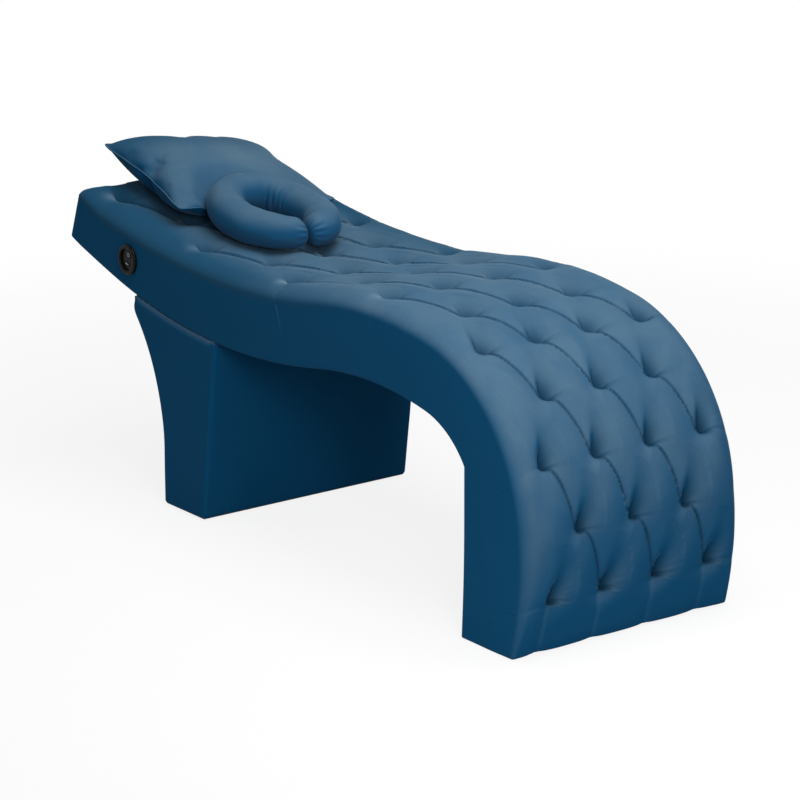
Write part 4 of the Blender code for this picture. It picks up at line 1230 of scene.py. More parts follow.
@dataclass
class TuftedBody:
    """The velvet body: tufted top with rolled edges, sides, head end and turned-under hems."""

    shape: BedShape
    row_step: float = 0.004
    column_step: float = 0.004
    roll_steps: int = 20
    side_steps: int = 26
    hem: float = 0.005
    hem_steps: int = 4
    recess: float = 0.0068
    under_edge: float = 0.3152
    under_steps: int = 12
    head_round: Span = (0.008, 0.006)
    head_run: float = 0.009
    foot_round: Span = (0.005, 0.004)
    foot_run: float = 0.006
    scallop: float = 0.0045
    scallop_run: float = 0.09
    lip_place: float = 0.0011
    lean_run: float = 0.25
    lean_slip: float = 0.012
    foot_slip: float = 0.006
    flare_height: float = 0.25
    hem_drop: float = 0.003
    hem_height: float = 0.05
    head_out: float = 0.012
    head_out_run: float = 0.15
    end_steps: int = 7
    roll_fade: float = 0.05
    scallop_width: float = 0.025
    scallop_edge: float = 0.29
    flare_half: float = 0.3
    side_depth: float = 0.5
    side_puff: float = 0.0014
    side_puff_end: float = 1.15
    side_uneven: float = 0.5
    side_uneven_scale: float = 0.35
    control_clear: Span = (0.30, 0.08)
    pleat_shift: float = 0.02
    pleat_slant: float = 0.006
    plain_pleat: Span = (0.0015, 0.45)
    strong_pleat: Span = (0.0044, 0.85)
    pleat_ridge: float = 0.6
    ridge_place: Span = (-0.0015, 0.0020)
    groove_place: Span = (0.003, 0.004)
    pleat_rows: tuple[float, ...] = (-0.003, -0.0015, 0.0, 0.0015, 0.003)
    row_gap: float = 0.0012
    shin_light_edge: Span = (0.06, 0.04)
    shin_light_run: float = 0.35
    lean_step: float = 0.02
    match: float = 1e-5
    field: TuftField = field(init=False)

    def __post_init__(self) -> None:
        """Make the tuft field."""
        self.field = TuftField(self.shape)

    def roll_table(self) -> tuple[Array, Array]:
        """Turns over the full rolled edge and the distance that each has gone along its surface."""
        turn = np.linspace(0.0, pi / 2, 200)
        speed = np.hypot(self.shape.edge_roll * np.cos(turn), self.shape.roll_drop * np.sin(turn))
        run = np.concatenate([[0.0], np.cumsum((speed[1:] + speed[:-1]) / 2 * np.diff(turn))])
        return turn, run

    def section(self, along: Array, w: Array) -> tuple[Array, ...]:
        """Place and outward direction across the top and its rolled edges.

        Args:
            along: Distances along the top curve.
            w: Distances across the surface from the middle.

        Returns:
            Across, lift, and the outward direction across and up.
        """
        size = self.shape.edge_size(along)
        roll, drop = self.shape.edge_roll * size, self.shape.roll_drop * size
        flat = self.shape.half - roll
        turn, run = self.roll_table()
        angle = np.interp((np.abs(w) - flat) / size, run, turn, left=0.0)
        sign = np.sign(w)
        across = np.where(np.abs(w) < flat, w, sign * (flat + roll * np.sin(angle)))
        lift = self.shape.puff - drop * (1 - np.cos(angle))
        out_y, out_up = np.sin(angle) / roll, np.cos(angle) / drop
        length = np.hypot(out_y, out_up)
        return across, lift, sign * out_y / length, out_up / length

    def upper_grid(self, along: Array) -> tuple[Array, Array]:
        """Grid of distances along and across the surface from one rolled edge's foot to the other's."""
        run = self.roll_table()[1][-1]
        roll = np.arange(1, self.roll_steps + 1) / self.roll_steps
        size = self.shape.edge_size(along)[:, None]
        flat = self.shape.half - self.shape.edge_roll * size
        middle = flat * np.linspace(-1, 1, self.middle_count())[None, :]
        outer = flat + run * size * roll[None, :]
        w = np.concatenate([-outer[:, ::-1], middle, outer], axis=1)
        place = np.broadcast_to(along[:, None], w.shape)
        return place, self.snapped(place, w)

    def middle_count(self) -> int:
        """Columns between the rolled edges."""
        return int(2 * (self.shape.half - self.shape.edge_roll) / self.column_step) + 1

    def snapped(self, along: Array, w: Array) -> Array:
        """Columns moved sideways so that one lies in each crease and one on its lip."""
        offset, _, inside = self.field.crease_offset(along, w)
        flat = self.shape.half - self.shape.edge_roll * self.shape.edge_size(along)
        shown = (inside > 0) & (np.abs(w) < flat)
        half = flat / (self.middle_count() - 1)
        moved = np.where(shown & (np.abs(offset) <= half), w - offset, w)
        lip = shown & (offset > half) & (offset <= 3 * half)
        return np.where(lip, w - offset + self.lip_place, moved)

    def hem_rise(self, along: Array, w: Array) -> Array:
        """How far the pleats lift the foot's hem at places."""
        pitch = self.shape.column_pitch
        beside = from_whole(w - self.shape.tuft_shift + pitch / 2, pitch)
        pulled = np.exp(-np.abs(beside) / self.scallop_width) * (np.abs(w) < self.scallop_edge)
        low = held((along - self.shape.foot_end + self.scallop_run) / self.scallop_run)
        return self.scallop * pulled * low ** 2

    def upper(self, along: Array) -> tuple[Array, Array]:
        """Points and outward directions of the tufted top at distances along it, as rows of columns."""
        place, w = self.upper_grid(along)
        across, lift, out_y, out_up = self.section(place, w)
        raised = place - self.hem_rise(place, w)
        out = set_across(self.shape.up(raised, lift) * out_up[..., None], out_y)
        size = self.shape.edge_size(place)
        reach = self.roll_table()[1][-1] * size + self.shape.half - self.shape.edge_roll * size
        fade = held((reach - np.abs(w)) / (self.roll_fade * size))
        points = set_across(self.shape.over(raised, lift), across)
        return points + out * (self.field.height(place, w) * fade)[..., None], out

    def edges(self, along: Array) -> tuple[Array, Array]:
        """Upper and lower end (x, z) of the plain sides at distances along the top curve."""
        shape = self.shape
        top = shape.over(along, shape.puff - shape.roll_drop * shape.edge_size(along))
        low = shape.over(along, -shape.depth(along))
        slip = self.lean_slip * held(1 - along / self.lean_run) ** 2
        head, on = shape.below(np.array([0.0, self.lean_step]), 0.0)
        return top, low - unit(on - head) * slip[:, None]

    def lower(self, along: Array, sign: float) -> tuple[Array, Array]:
        """Points and outward directions of one side and its hem, from the rolled edge down.

        Args:
            along: Distances along the top curve.
            sign: -1 for the near side, 1 for the far side.

        Returns:
            Points and directions, rows by columns by three.
        """
        top, low = self.edges(along)
        rise = unit(top - low)
        half = self.shape.half
        points, outs = [], []
        for step in range(1, self.side_steps + 1):
            share = step / self.side_steps
            flat = top * (1 - share) + (low + rise * self.hem) * share
            points.append(set_across(flat, sign * (half + self.side_swell(along, share, sign))))
            outs.append(set_across(0.0 * rise, sign))
        for step in range(1, self.hem_steps + 1):
            turn = pi / 2 * step / self.hem_steps
            flat = low + rise * self.hem * (1 - sin(turn))
            points.append(set_across(flat, sign * (half - self.hem * (1 - cos(turn)))))
            outs.append(set_across(-rise * sin(turn), sign * cos(turn)))
        from_ends = np.minimum(along / self.head_run, (self.shape.foot_end - along) / self.foot_run)
        for height in (0.0, self.recess):
            flat = low + rise * (height * held(from_ends))[:, None]
            points.append(set_across(flat, sign * self.under_edge))
            outs.append(set_across(-rise, 0.0))
        return np.stack(points, axis=1), np.stack(outs, axis=1)

    def side_swell(self, along: Array, share: float, sign: float) -> Array:
        """Padding of a plain side and the pleats that hang from its outer tufts, none round the control."""
        soft = self.side_puff * sin(pi * min(share * self.side_puff_end, 1.0))
        down = np.full(along.shape, self.side_depth * share)
        uneven = wander(along, down, self.side_uneven_scale, Draw.SIDES + int(sign))
        swell = soft * (1 + self.side_uneven * uneven)
        groove_at, groove_width = self.groove_place
        for place, depth, end in self.side_pleats():
            away = along - place - self.pleat_slant * share
            ridge = self.pleat_ridge * bell(away, self.ridge_place)
            groove = np.exp(-np.abs(away - groove_at) / groove_width)
            swell = swell + depth * (ridge - groove) * max(0.0, 1 - share / end)
        return swell * ramp(along, self.control_clear)

    def side_pleats(self) -> list[Colour]:
        """Place along, depth and end share of the pleats that hang down the sides."""
        pleats = []
        for number, line in enumerate(self.shape.lines[::2]):
            kind = self.strong_pleat if 2 * number == self.field.strong_row else self.plain_pleat
            pleats.append((line + self.pleat_shift, *kind))
        return pleats

    def body_rows(self) -> Array:
        """Distances along of the body's rows, closer where a pleat hangs down the sides."""
        last = self.shape.foot_end - self.foot_run
        even = np.linspace(self.head_run, last, int((last - self.head_run) / self.row_step) + 1)
        close = [place + step for place, _, _ in self.side_pleats() for step in self.pleat_rows]
        close = np.array([place for place in close if self.head_run < place < last])
        kept = [place for place in even if np.abs(close - place).min() > self.row_gap]
        return np.sort(np.concatenate([kept, close]))

    def across_under(self, near: Array, far: Array) -> Array:
        """Rows of points between the two hems' inner edges, from far to near."""
        shares = np.arange(1, self.under_steps) / self.under_steps
        return far[:, None] * (1 - shares[None, :, None]) + near[:, None] * shares[None, :, None]

    def loops(self, along: Array) -> tuple[Array, Array]:
        """Closed loops round the body and their outward directions at distances along it."""
        near, near_out = self.lower(along, -1.0)
        far, far_out = self.lower(along, 1.0)
        upper, upper_out = self.upper(along)
        under = self.across_under(near[:, -1], far[:, -1])
        under_out = self.across_under(near_out[:, -1], far_out[:, -1])
        loops = self.let_out(np.concatenate([near[:, ::-1], upper, far, under], axis=1))
        outs = np.concatenate([near_out[:, ::-1], upper_out, far_out, under_out], axis=1)
        return loops, outs

    def let_out(self, points: Array) -> Array:
        """Points with the near side flared at the foot, the hem let down and the head end let out."""
        x, y, z = np.moveaxis(points, -1, 0)
        low = held(1 - z / self.flare_height) ** 2
        hem = held(1 - z / self.hem_height)
        head = held((self.shape.over(0.0, 0.0)[0] - x) / self.head_out_run + 1) ** 2
        aside = y - low * self.foot_slip * held(-y / self.flare_half)
        return np.stack([x - self.head_out * head, aside, z - self.hem_drop * hem], axis=-1)

    def end_rows(self, end: float, run: float, rounding: Span) -> Array:
        """Loops that round the body off at one of its ends, from the body outwards.

        Args:
            end: Distance along the top curve of the end itself.
            run: Signed distance before the end at which the rounding starts.
            rounding: How far the top and the sides draw in.

        Returns:
            Loops of points.
        """
        turns = np.linspace(0.0, pi / 2, self.end_steps + 1)[1:]
        loops, outs = self.loops(end - run * (1 - np.sin(turns)))
        upright, sideways = rounding
        sizes = sideways + (upright - sideways) * held(outs[..., 2] + np.abs(outs[..., 0])) ** 2
        return loops - outs * (sizes * (1 - np.cos(turns))[:, None])[..., None]

    def build(self) -> Piece:
        """Model the body as one closed skin."""
        middle, _ = self.loops(self.body_rows())
        head = self.end_rows(0.0, -self.head_run, self.head_round)[::-1]
        foot = self.end_rows(self.shape.foot_end, self.foot_run, self.foot_round)
        body = closed_tube("tufted_body", np.concatenate([head, middle, foot]))
        self.mark_painted_light(body)
        return body

    def mark_painted_light(self, body: Piece) -> None:
        """Keep on the body, at each point of its top, its painted shade, painted light and the shin's painted
        light way.
        """
        shape = self.shape
        rows = self.body_rows()
        place, w = self.upper_grid(rows)
        tree = search_tree(self.let_out(self.upper(rows)[0]).reshape(-1, 3).tolist())
        # Where the velvet's painted light follows the shin's facing way.
        shin = 1 - ramp(np.abs(w) - self.field.edge_line, self.shin_light_edge)
        shin = shin * held((place - shape.lines[shape.shin_rows]) / self.shin_light_run)
        known = {Mark.TUCK: self.field.painted_tuck_shade(place, w), Mark.SHIN: shin,
                 Mark.CRUSHED: self.field.crushed(place, w), Mark.STANDING: self.field.standing(place, w)}
        found = [tree.find(vertex.co) for vertex in body.data.vertices]
        index = np.array([number for _, number, _ in found])
        matched = np.array([away < self.match for _, _, away in found])
        for name, values in known.items():
            mark(body, name, np.where(matched, values.ravel()[index], 0.0))


@dataclass
class TuftButtons:
    """Velvet-covered buttons at the bottom of the tufts."""

    shape: BedShape
    radius: float = 0.0080
    height: float = 0.0035
    sit: float = -0.0385
    shift: Span = (-0.008, 0.005)
    base_share: float = 0.2
    base_draw: float = 0.86
    match: float = 1e-5

    def pattern(self) -> Piece:
        """Model one button: a low dome with a rolled rim."""
        deselect()
        bpy.ops.mesh.primitive_uv_sphere_add(segments=20, ring_count=10, radius=self.radius)
        button = bpy.context.active_object
        with edit_mode():
            bpy.ops.mesh.select_all(action="DESELECT")
        base = -self.base_share * self.radius
        for vertex in button.data.vertices:
            vertex.select = vertex.co.z < base
        with edit_mode():
            flat = (self.base_draw, self.base_draw, 0.0)
            bpy.ops.transform.resize(value=flat, center_override=(0, 0, base))
            bpy.ops.mesh.select_all(action="SELECT")
            bpy.ops.transform.resize(value=(1, 1, self.height / self.radius), center_override=(0, 0, 0))
            bpy.ops.mesh.remove_doubles(threshold=self.match)
            bpy.ops.mesh.normals_make_consistent(inside=False)
        button.data.shade_smooth()
        return button

    def build(self) -> Piece:
        """Set a copy at each tuft and join them."""
        pattern = self.pattern()
        copies = []
        ahead, aside = self.shift
        for line, across in self.shape.tufts():
            along = line + ahead
            x, z = self.shape.over(along, self.sit)
            up_x, up_z = self.shape.up(np.array(along), np.array(self.sit))
            turn = Vector((0, 0, 1)).rotation_difference(Vector((up_x, 0, up_z))).to_matrix().to_4x4()
            copy = bpy.data.objects.new("tuft_buttons", pattern.data.copy())
            copy.data.transform(Matrix.Translation((x, across + aside, z)) @ turn)
            bpy.context.scene.collection.objects.link(copy)
            copies.append(copy)
        bpy.data.objects.remove(pattern)
        deselect()
        for copy in copies:
            copy.select_set(True)
        bpy.context.view_layer.objects.active = copies[0]
        bpy.ops.object.join()
        return copies[0]


@dataclass
class UnderCovers:
    """Velvet panels of the underside and of the foot's inner face."""

    shape: BedShape
    half_width: float = 0.3146
    thickness: float = 0.0058
    edge: float = 0.0022
    puff: float = 0.0012
    step: float = 0.012
    columns: int = 40
    head_gap: float = 0.0103
    gap: float = 0.0003
    end_drop: float = 0.0012
    way_step: float = 0.01
    wave: float = 0.3
    wave_step: float = 0.9

    def band(self, name: str, outer: Array, way: Array) -> Piece:
        """A thin padded band along a side view line.

        Args:
            name: The piece's name.
            outer: Points (x, z) of its outer face.
            way: Unit directions (x, z) from the outer face into the bed.

        Returns:
            The band.
        """
        y = np.linspace(-self.half_width, self.half_width, self.columns)
        rim = held((self.half_width - np.abs(y)) / self.edge)
        drop = self.edge * (1 - np.sqrt(1 - (1 - rim) ** 2))
        loops = []
        for number, (point, inward) in enumerate(zip(outer, way)):
            soft = drop + (self.end_drop if number in (0, len(outer) - 1) else 0.0)
            soft = soft - self.puff * rim * self.wave * sin(self.wave_step * number)
            soft = np.maximum(soft, self.gap)
            under = set_across(point + inward * soft[:, None], y)
            inside = set_across(np.tile(point + inward * self.thickness, (len(y), 1)), y[::-1])
            loops.append(np.concatenate([under, inside]))
        return closed_tube(name, np.array(loops))

    def build(self) -> list[Piece]:
        """Model both panels."""
        shape = self.shape
        places = np.linspace(self.head_gap, shape.under.length, int(shape.under.length / self.step))
        outer = shape.below(places, 0.0)
        belly = self.band("belly_cover", outer, unit(shape.below(places, self.way_step) - outer))
        z = np.linspace(shape.knee_end - self.gap, shape.glide_height, int(shape.knee_end / self.step))
        leg = np.stack([np.full(len(z), shape.leg_inner + shape.root_x), z], axis=-1)
        inner = self.band("leg_inner_cover", leg, np.tile([1.0, 0.0], (len(z), 1)))
        return [belly, inner]


@dataclass
class PedestalSleeve:
    """The velvet sleeve of the slab pedestal."""

    shape: BedShape
    outer_x: float = -0.330
    depth: float = 0.182
    lean: float = 0.131
    flare_radius: float = 0.52
    flare_angle: float = 40.0
    lip_radius: float = 0.035
    lip_angle: float = 70.0
    lip_gap: float = 0.0166
    edge: float = 0.011
    corner: float = 40.0
    step: float = 0.008
    proud: float = 0.0012
    top_gap: float = 0.0006
    top_places: int = 12
    rows: int = 60
    uneven: float = 0.0008
    uneven_scale: float = 0.22
    floor_calm: Span = (0.02, 0.05)
    sharp_top: Span = (0.6, 0.3)

    def outline(self) -> Array:
        """Side view (x, z) in the frame, up the flared outer face and down the leaning inner one."""
        shape = self.shape
        turns = [(self.flare_radius, self.flare_angle), (self.lip_radius, -self.lip_angle)]
        grounded = SideCurve((self.outer_x, 0.0), 90.0, turns)
        lip_x, rise = grounded.at(grounded.length, 0.0)
        low = shape.under_low + fall_over(shape.under_head_radius, float(lip_x)) - self.lip_gap
        curve = SideCurve((self.outer_x, low - float(rise)), 90.0, turns)
        places = np.linspace(0.0, curve.length, int(curve.length / self.step))
        points = [(self.outer_x, shape.glide_height)] + [tuple(p) for p in curve.at(places, 0.0)]
        inner_x = self.outer_x + self.depth + self.lean * shape.under_low
        for x in np.linspace(points[-1][0], inner_x, self.top_places):
            points.append((x, shape.under_low + fall_over(shape.under_head_radius, x) - self.top_gap))
        points.append((self.outer_x + self.depth + self.lean * shape.glide_height, shape.glide_height))
        rounded = round_corners(points, self.edge, self.corner)
        return resample(rounded, self.step) + np.array([shape.root_x, 0.0])

    def build(self) -> Piece:
        """Loft the outline across the bed, drawn in over rounded edges at both ends."""
        outline = self.outline()
        ahead = np.roll(outline, -1, axis=0) - np.roll(outline, 1, axis=0)
        normal = unit(np.stack([-ahead[:, 1], ahead[:, 0]], axis=-1))
        normal *= np.sign(((outline - outline.mean(0)) * normal).sum())
        rounded = 1 - ramp(normal[:, 1], self.sharp_top)
        half = self.shape.half + self.proud
        turns = np.linspace(0.0, pi / 2, ARC_STEPS + 1)[1:]
        ends = [(half - self.edge * (1 - sin(t)), self.edge * (1 - cos(t))) for t in turns]
        body = [(y, 0.0) for y in np.linspace(-half + self.edge, half - self.edge, self.rows)]
        rows = [(-y, inset) for y, inset in reversed(ends)] + body + ends
        calm = ramp(outline[:, 1], self.floor_calm)
        loops = []
        for y, inset in rows:
            across = np.full(len(outline), y)
            soft = self.uneven * wander(outline[:, 1], across, self.uneven_scale, Draw.SLEEVE) * calm
            drawn = outline + normal * (soft - inset * rounded)[:, None]
            drawn[:, 1] = np.maximum(drawn[:, 1], self.shape.glide_height)
            loops.append(set_across(drawn, across))
        return closed_tube("pedestal_sleeve", np.array(loops))


# Pillows

@dataclass
class NeckPillow:
    """The loose horseshoe neck pillow with its gathered ends."""

    shape: BedShape
    place: float = 0.470
    across: float = -0.029
    half_length: float = 0.1615
    half_width: float = 0.1105
    radius: float = 0.050
    mean_radius: float = 0.045
    tip_radius: float = 0.004
    tip_run: float = 0.05
    end_slim: float = 0.28
    slim_run: float = 0.20
    rise: float = 0.022
    mouth: float = -6.0
    mouth_half: float = 1.6
    pinch: float = 0.10
    rows: int = 320
    columns: int = 72
    rest: float = 0.0046
    deep_folds: tuple[float, ...] = (0.335, 0.362, 0.385, 0.415)
    deep_fold: float = 0.0032
    small_fold: float = 0.0010
    small_folds: int = 9
    small_fold_span: Span = (0.15, 0.85)
    fold_widths: Span = (0.004, 0.007)
    fold_slant: float = 0.010
    fold_shoulder: float = 1.7
    gathers: int = 12
    gather_depth: float = 0.0042
    gather_fade: float = 0.75
    gather_sway: float = 2.0
    uneven: float = 0.0010
    uneven_scale: float = 0.09
    tip_calm: float = 0.012
    lie: float = 0.0115
    lie_span: Span = (0.2, 0.8)
    lie_soft: float = 0.006
    lie_clear: float = 0.03
    # Painted light on the underside.
    crushed: float = 0.24
    light_below: float = 0.35

    def centre_line(self, turns: Array, radius: float) -> Array:
        """Points of the tube's middle line at turns in radians."""
        along = self.place + self.half_length * np.cos(turns)
        drawn_in = 1 - self.pinch * ((1 + np.cos(turns)) / 2) ** 2
        y = self.across + self.half_width * np.sin(turns) * drawn_in
        lift = self.rest + radius + self.rise * ((1 - np.cos(turns)) / 2) ** 2
        return set_across(self.shape.over(along, lift), y)

    def build(self) -> Piece:
        """Model the tube with wrinkles inside its bend and pleats at its ends."""
        first = radians(self.mouth + self.mouth_half)
        last = radians(self.mouth - self.mouth_half + 360)
        share = np.linspace(0.0, 1.0, self.rows)
        turns = first + (last - first) * share
        edge = np.minimum(share, 1 - share)
        slim = 1 - self.end_slim * (1 - held(edge / self.slim_run)) ** 2
        taper = np.sqrt(1 - (1 - held(edge / self.tip_run)) ** 2.4)
        radius = self.tip_radius + (self.radius - self.tip_radius) * slim * taper
        line = self.centre_line(turns, self.radius)
        ahead = np.gradient(line, axis=0)
        angle = np.linspace(0.0, 2 * pi, self.columns, endpoint=False)
        run = np.cumsum(np.linalg.norm(ahead, axis=1))
        size = radius[:, None] + self.folds(run, edge, angle)
        tube = closed_tube("neck_pillow_tube", self.rested(swept(line, ahead, size, angle)))
        upward = np.array([vertex.normal.z for vertex in tube.data.vertices])
        # Painted light: the underside is lightened where it faces down.
        mark(tube, Mark.CRUSHED, self.crushed * held(self.light_below - upward))
        return tube

    def folds(self, run: Array, edge: Array, angle: Array) -> Array:
        """Wrinkles inside the bend and gathers at the ends, as changes of radius."""
        length, turn = np.meshgrid(run, angle, indexing="ij")
        inside = held(-np.cos(turn)) ** 1.5
        draw = np.random.default_rng(Draw.NECK_FOLDS)
        total = np.zeros(length.shape)
        places = [(share, self.deep_fold) for share in self.deep_folds]
        small = draw.uniform(*self.small_fold_span, self.small_folds)
        places += [(share, self.small_fold) for share in small]
        for share, depth in places:
            width = draw.uniform(*self.fold_widths)
            slant = draw.uniform(-self.fold_slant, self.fold_slant)
            away = (length - share * run[-1] - slant * np.sin(turn)) / width
            total -= depth * inside * np.exp(-away ** 2)
            total += 0.5 * depth * inside * np.exp(-(np.abs(away) - self.fold_shoulder) ** 2)
        near_end = held(1 - edge / self.tip_run)[:, None]
        gathered = near_end ** 1.3 * (1 - self.gather_fade * near_end)
        waves = np.cos(self.gathers * turn + self.gather_sway * np.sin(turn))
        total += self.gather_depth * gathered * waves
        total += self.uneven * wander(length, self.mean_radius * turn, self.uneven_scale, Draw.NECK)
        return total * held(edge / self.tip_calm)[:, None]

    def rested(self, points: Array) -> Array:
        """Points kept above the bed's top, flat where the pillow lies on it."""
        x, z = points[..., 0], points[..., 2]
        line = self.shape.over(np.linspace(*self.lie_span, 400), self.shape.puff + self.lie)
        floor = np.interp(x, line[:, 0], line[:, 1])
        lifted = floor + soft_rise(z - floor, self.lie_soft)
        made = points.copy()
        made[..., 2] = np.where(z - floor > self.lie_clear, z, lifted)
        return made


@dataclass
class HeadPillow:
    """The loose head pillow: two sewn sheets blown up by a cloth simulation, then laid on the bed."""

    shape: BedShape
    neck: NeckPillow
    place: float = 0.132
    across: float = 0.020
    length: float = 0.362
    width: float = 0.49
    seam: float = 0.050
    tilt: float = 0.009
    roll: float = 0.032
    twist: float = 0.0085
    crown: float = 0.074
    belly: float = 0.074
    lean: float = 0.16
    side_share: float = 0.90
    ear: float = 0.035
    cell: float = 0.0065
    start_crown: float = 0.050
    frames: int = 25
    pressure: float = 6.0
    seam_shrink: float = 0.012
    calmed: int = 8
    piping: float = 0.0023
    clearance: float = 0.003
    neck_slope: float = 1.35
    drawn_in: float = 0.10
    seam_reach: float = 0.02
    side_middle: float = 0.1
    lie: float = 0.010
    lie_soft: float = 0.004
    neck_soft: float = 0.005
    # Painted shade towards the head end.
    standing: float = 0.9
    shade_span: Span = (0.15, 0.6)
    # Painted light spot on the pillow's top.
    crushed: float = 0.30
    light_u: Span = (0.15, 0.4)
    light_v: Span = (0.25, 0.6)
    light_above: float = 0.2
    piping_sides: int = 10

    def sheets(self) -> tuple[Array, Faces, list[int]]:
        """Two sheets sewn round their edge.

        Returns:
            Points, with the sheet's side for a height; faces; the seam's vertex numbers in order.
        """
        rows, columns = int(self.length / self.cell), int(self.width / self.cell)
        top = np.arange((rows + 1) * (columns + 1)).reshape(rows + 1, columns + 1)
        under = top.copy()
        under[1:-1, 1:-1] = top.size + np.arange((rows - 1) * (columns - 1)).reshape(rows - 1, -1)
        u, v = (2 * np.arange(count + 1) / count - 1 for count in (rows, columns))
        flat = np.zeros((rows + 1, columns + 1, 3))
        flat[..., 0] = (u * self.length / 2)[:, None]
        flat[..., 1] = v * self.width / 2
        flat[1:-1, 1:-1, 2] = 1.0
        lower = flat[1:-1, 1:-1] * (1, 1, -1)
        points = np.concatenate([flat.reshape(-1, 3), lower.reshape(-1, 3)])
        rings = [np.stack([n[:-1, :-1], n[1:, :-1], n[1:, 1:], n[:-1, 1:]], axis=-1) for n in (top, under)]
        faces = np.stack([rings[0], rings[1][..., ::-1]], axis=2).reshape(-1, 4).tolist()
        seam = np.concatenate([top[0, :-1], top[:-1, -1], top[-1, :0:-1], top[:0:-1, 0]])
        return points, faces, seam.tolist()

    def crowned(self, points: Array) -> Array:
        """The sheets as a smooth crowned form whose sides draw in between its corners."""
        u, v = points[:, 0] / (self.length / 2), points[:, 1] / (self.width / 2)
        full = held((1 - u ** 4) * (1 - v ** 4)) ** 0.8
        made = points.copy()
        made[:, 0] *= 1 - self.drawn_in * (1 - v ** 2) * u ** 2
        made[:, 1] *= 1 - self.drawn_in * (1 - u ** 2) * v ** 2
        made[:, 2] *= full * self.start_crown
        return made

    def blown_up(self, piece: Piece, sheets: Array) -> Array:
        """Fill the crowned sheets by cloth simulation, with a seam that draws in.

        Args:
            piece: The crowned pillow.
            sheets: Its points before they were crowned.

        Returns:
            The filled pillow's points.
        """
        from_side = np.minimum(self.length / 2 - np.abs(sheets[:, 0]), self.width / 2 - np.abs(sheets[:, 1]))
        group = piece.vertex_groups.new(name="seam")
        for number, share in enumerate(held(1 - from_side / self.seam_reach).tolist()):
            group.add([number], share, "REPLACE")
        cloth = piece.modifiers.new("filling", "CLOTH")
        configure(cloth.settings, {
            "quality": 6, "mass": 0.15, "air_damping": 2.0, "tension_stiffness": 30.0,
            "compression_stiffness": 30.0, "shear_stiffness": 12.0, "bending_stiffness": 0.25,
            "use_pressure": True, "uniform_pressure_force": self.pressure,
            "vertex_group_shrink": group.name, "shrink_min": 0.0, "shrink_max": self.seam_shrink})
        cloth.settings.effector_weights.gravity = 0.0
        cloth.collision_settings.use_collision = False
        configure(cloth.point_cache, {"frame_start": 1, "frame_end": self.frames})
        scene = bpy.context.scene
        for step in range(1, self.frames + 1):
            scene.frame_set(step)
        make_active(piece)
        bpy.ops.object.modifier_apply(modifier=cloth.name)
        scene.frame_set(1)
        apply_modifier(piece, "SMOOTH", factor=0.5, iterations=self.calmed)
        return np.array([tuple(vertex.co) for vertex in piece.data.vertices])

    def spread_out(self, points: Array, seam: list[int]) -> tuple[Array, ...]:
        """Shares of the half length, half width and height, with the sides let out to their share."""
        u, v, full = (points / np.abs(points).max(axis=0)).T
        side_u = np.abs(u[seam][np.abs(v[seam]) < self.side_middle]).mean()
        side_v = np.abs(v[seam][np.abs(u[seam]) < self.side_middle]).mean()
        out_u = u * (1 + (self.side_share / side_u - 1) * (1 - v ** 2))
        out_v = v * (1 + (self.side_share / side_v - 1) * (1 - u ** 2))
        corner = 1 + self.ear * np.abs(u * v) ** 4
        return out_u * corner, out_v * corner, full

    def neck_limit(self, points: Array) -> Array:
        """Greatest height at places so that the neck pillow can lie there and be lifted off."""
        turns = np.linspace(0.0, 2 * pi, 120)
        reach = self.neck.radius + self.clearance
        slant = reach * sqrt(0.5)
        limit = np.full(len(points), np.inf)
        for x, y, z in self.neck.centre_line(turns, self.neck.radius):
            away = np.hypot(points[:, 0] - x, points[:, 1] - y)
            round_part = z - np.sqrt(np.clip(reach ** 2 - away ** 2, 0, None))
            beside = z - slant + self.neck_slope * (away - slant)
            limit = np.minimum(limit, np.where(away < slant, round_part, beside))
        return limit

    def laid(self, u: Array, v: Array, full: Array) -> Array:
        """Lay the filled pillow on the bed's head end.

        Args:
            u: Shares of its half length, towards the foot.
            v: Shares of its half width, towards the far side.
            full: Shares of its height over the seam, negative below it.

        Returns:
            Points in the frame.
        """
        seam = self.seam - self.tilt * u - self.roll * v + self.twist * u * v
        lift = seam + np.where(full > 0, self.crown * (1 - self.lean * u), self.belly) * full
        rest = self.shape.puff + self.lie
        lift = rest + soft_rise(lift - rest, self.lie_soft)
        flat = self.shape.over(self.place + self.length / 2 * u, lift)
        made = set_across(flat, self.across + self.width / 2 * v)
        limit = self.neck_limit(made)
        made[:, 2] = limit - soft_rise(limit - made[:, 2], self.neck_soft)
        return made

    def mark_painted_light(self, piece: Piece, u: Array, v: Array, full: Array) -> None:
        """Keep on the pillow painted shade towards its head end and a painted light spot on its top, at
        shares of its half length, half width and height.
        """
        mark(piece, Mark.STANDING, self.standing * ramp(-u, self.shade_span))
        spot = bell(u, self.light_u) * bell(v, self.light_v)
        mark(piece, Mark.CRUSHED, self.crushed * spot * (full > self.light_above))

    def build(self) -> list[Piece]:
        """Make the pillow and the piping of its seam."""
        sheets, faces, seam = self.sheets()
        points = self.crowned(sheets)
        piece = mesh_piece("head_pillow_cushion", points, faces)
        points = self.blown_up(piece, sheets)
        u, v, full = self.spread_out(points, seam)
        points = self.laid(u, v, full)
        self.mark_painted_light(piece, u, v, full)
        piece.data.vertices.foreach_set("co", points.ravel())
        piece.data.update()
        apply_modifier(piece, "SUBSURF", levels=1, render_levels=1)
        piece.data.shade_smooth()
        return [piece, self.build_piping(points[seam])]

    def build_piping(self, line: Array) -> Piece:
        """A thin cord sewn into the seam."""
        for _ in range(2):
            line = (np.roll(line, 1, axis=0) + 2 * line + np.roll(line, -1, axis=0)) / 4
        ahead = np.roll(line, -1, axis=0) - np.roll(line, 1, axis=0)
        angle = np.linspace(0.0, 2 * pi, self.piping_sides, endpoint=False)
        loops = swept(line, ahead, self.piping, angle)
        closed = np.concatenate([loops, loops[:1]])
        return mesh_piece("head_pillow_piping", closed, tube_faces(*closed.shape[:2]))


# Control

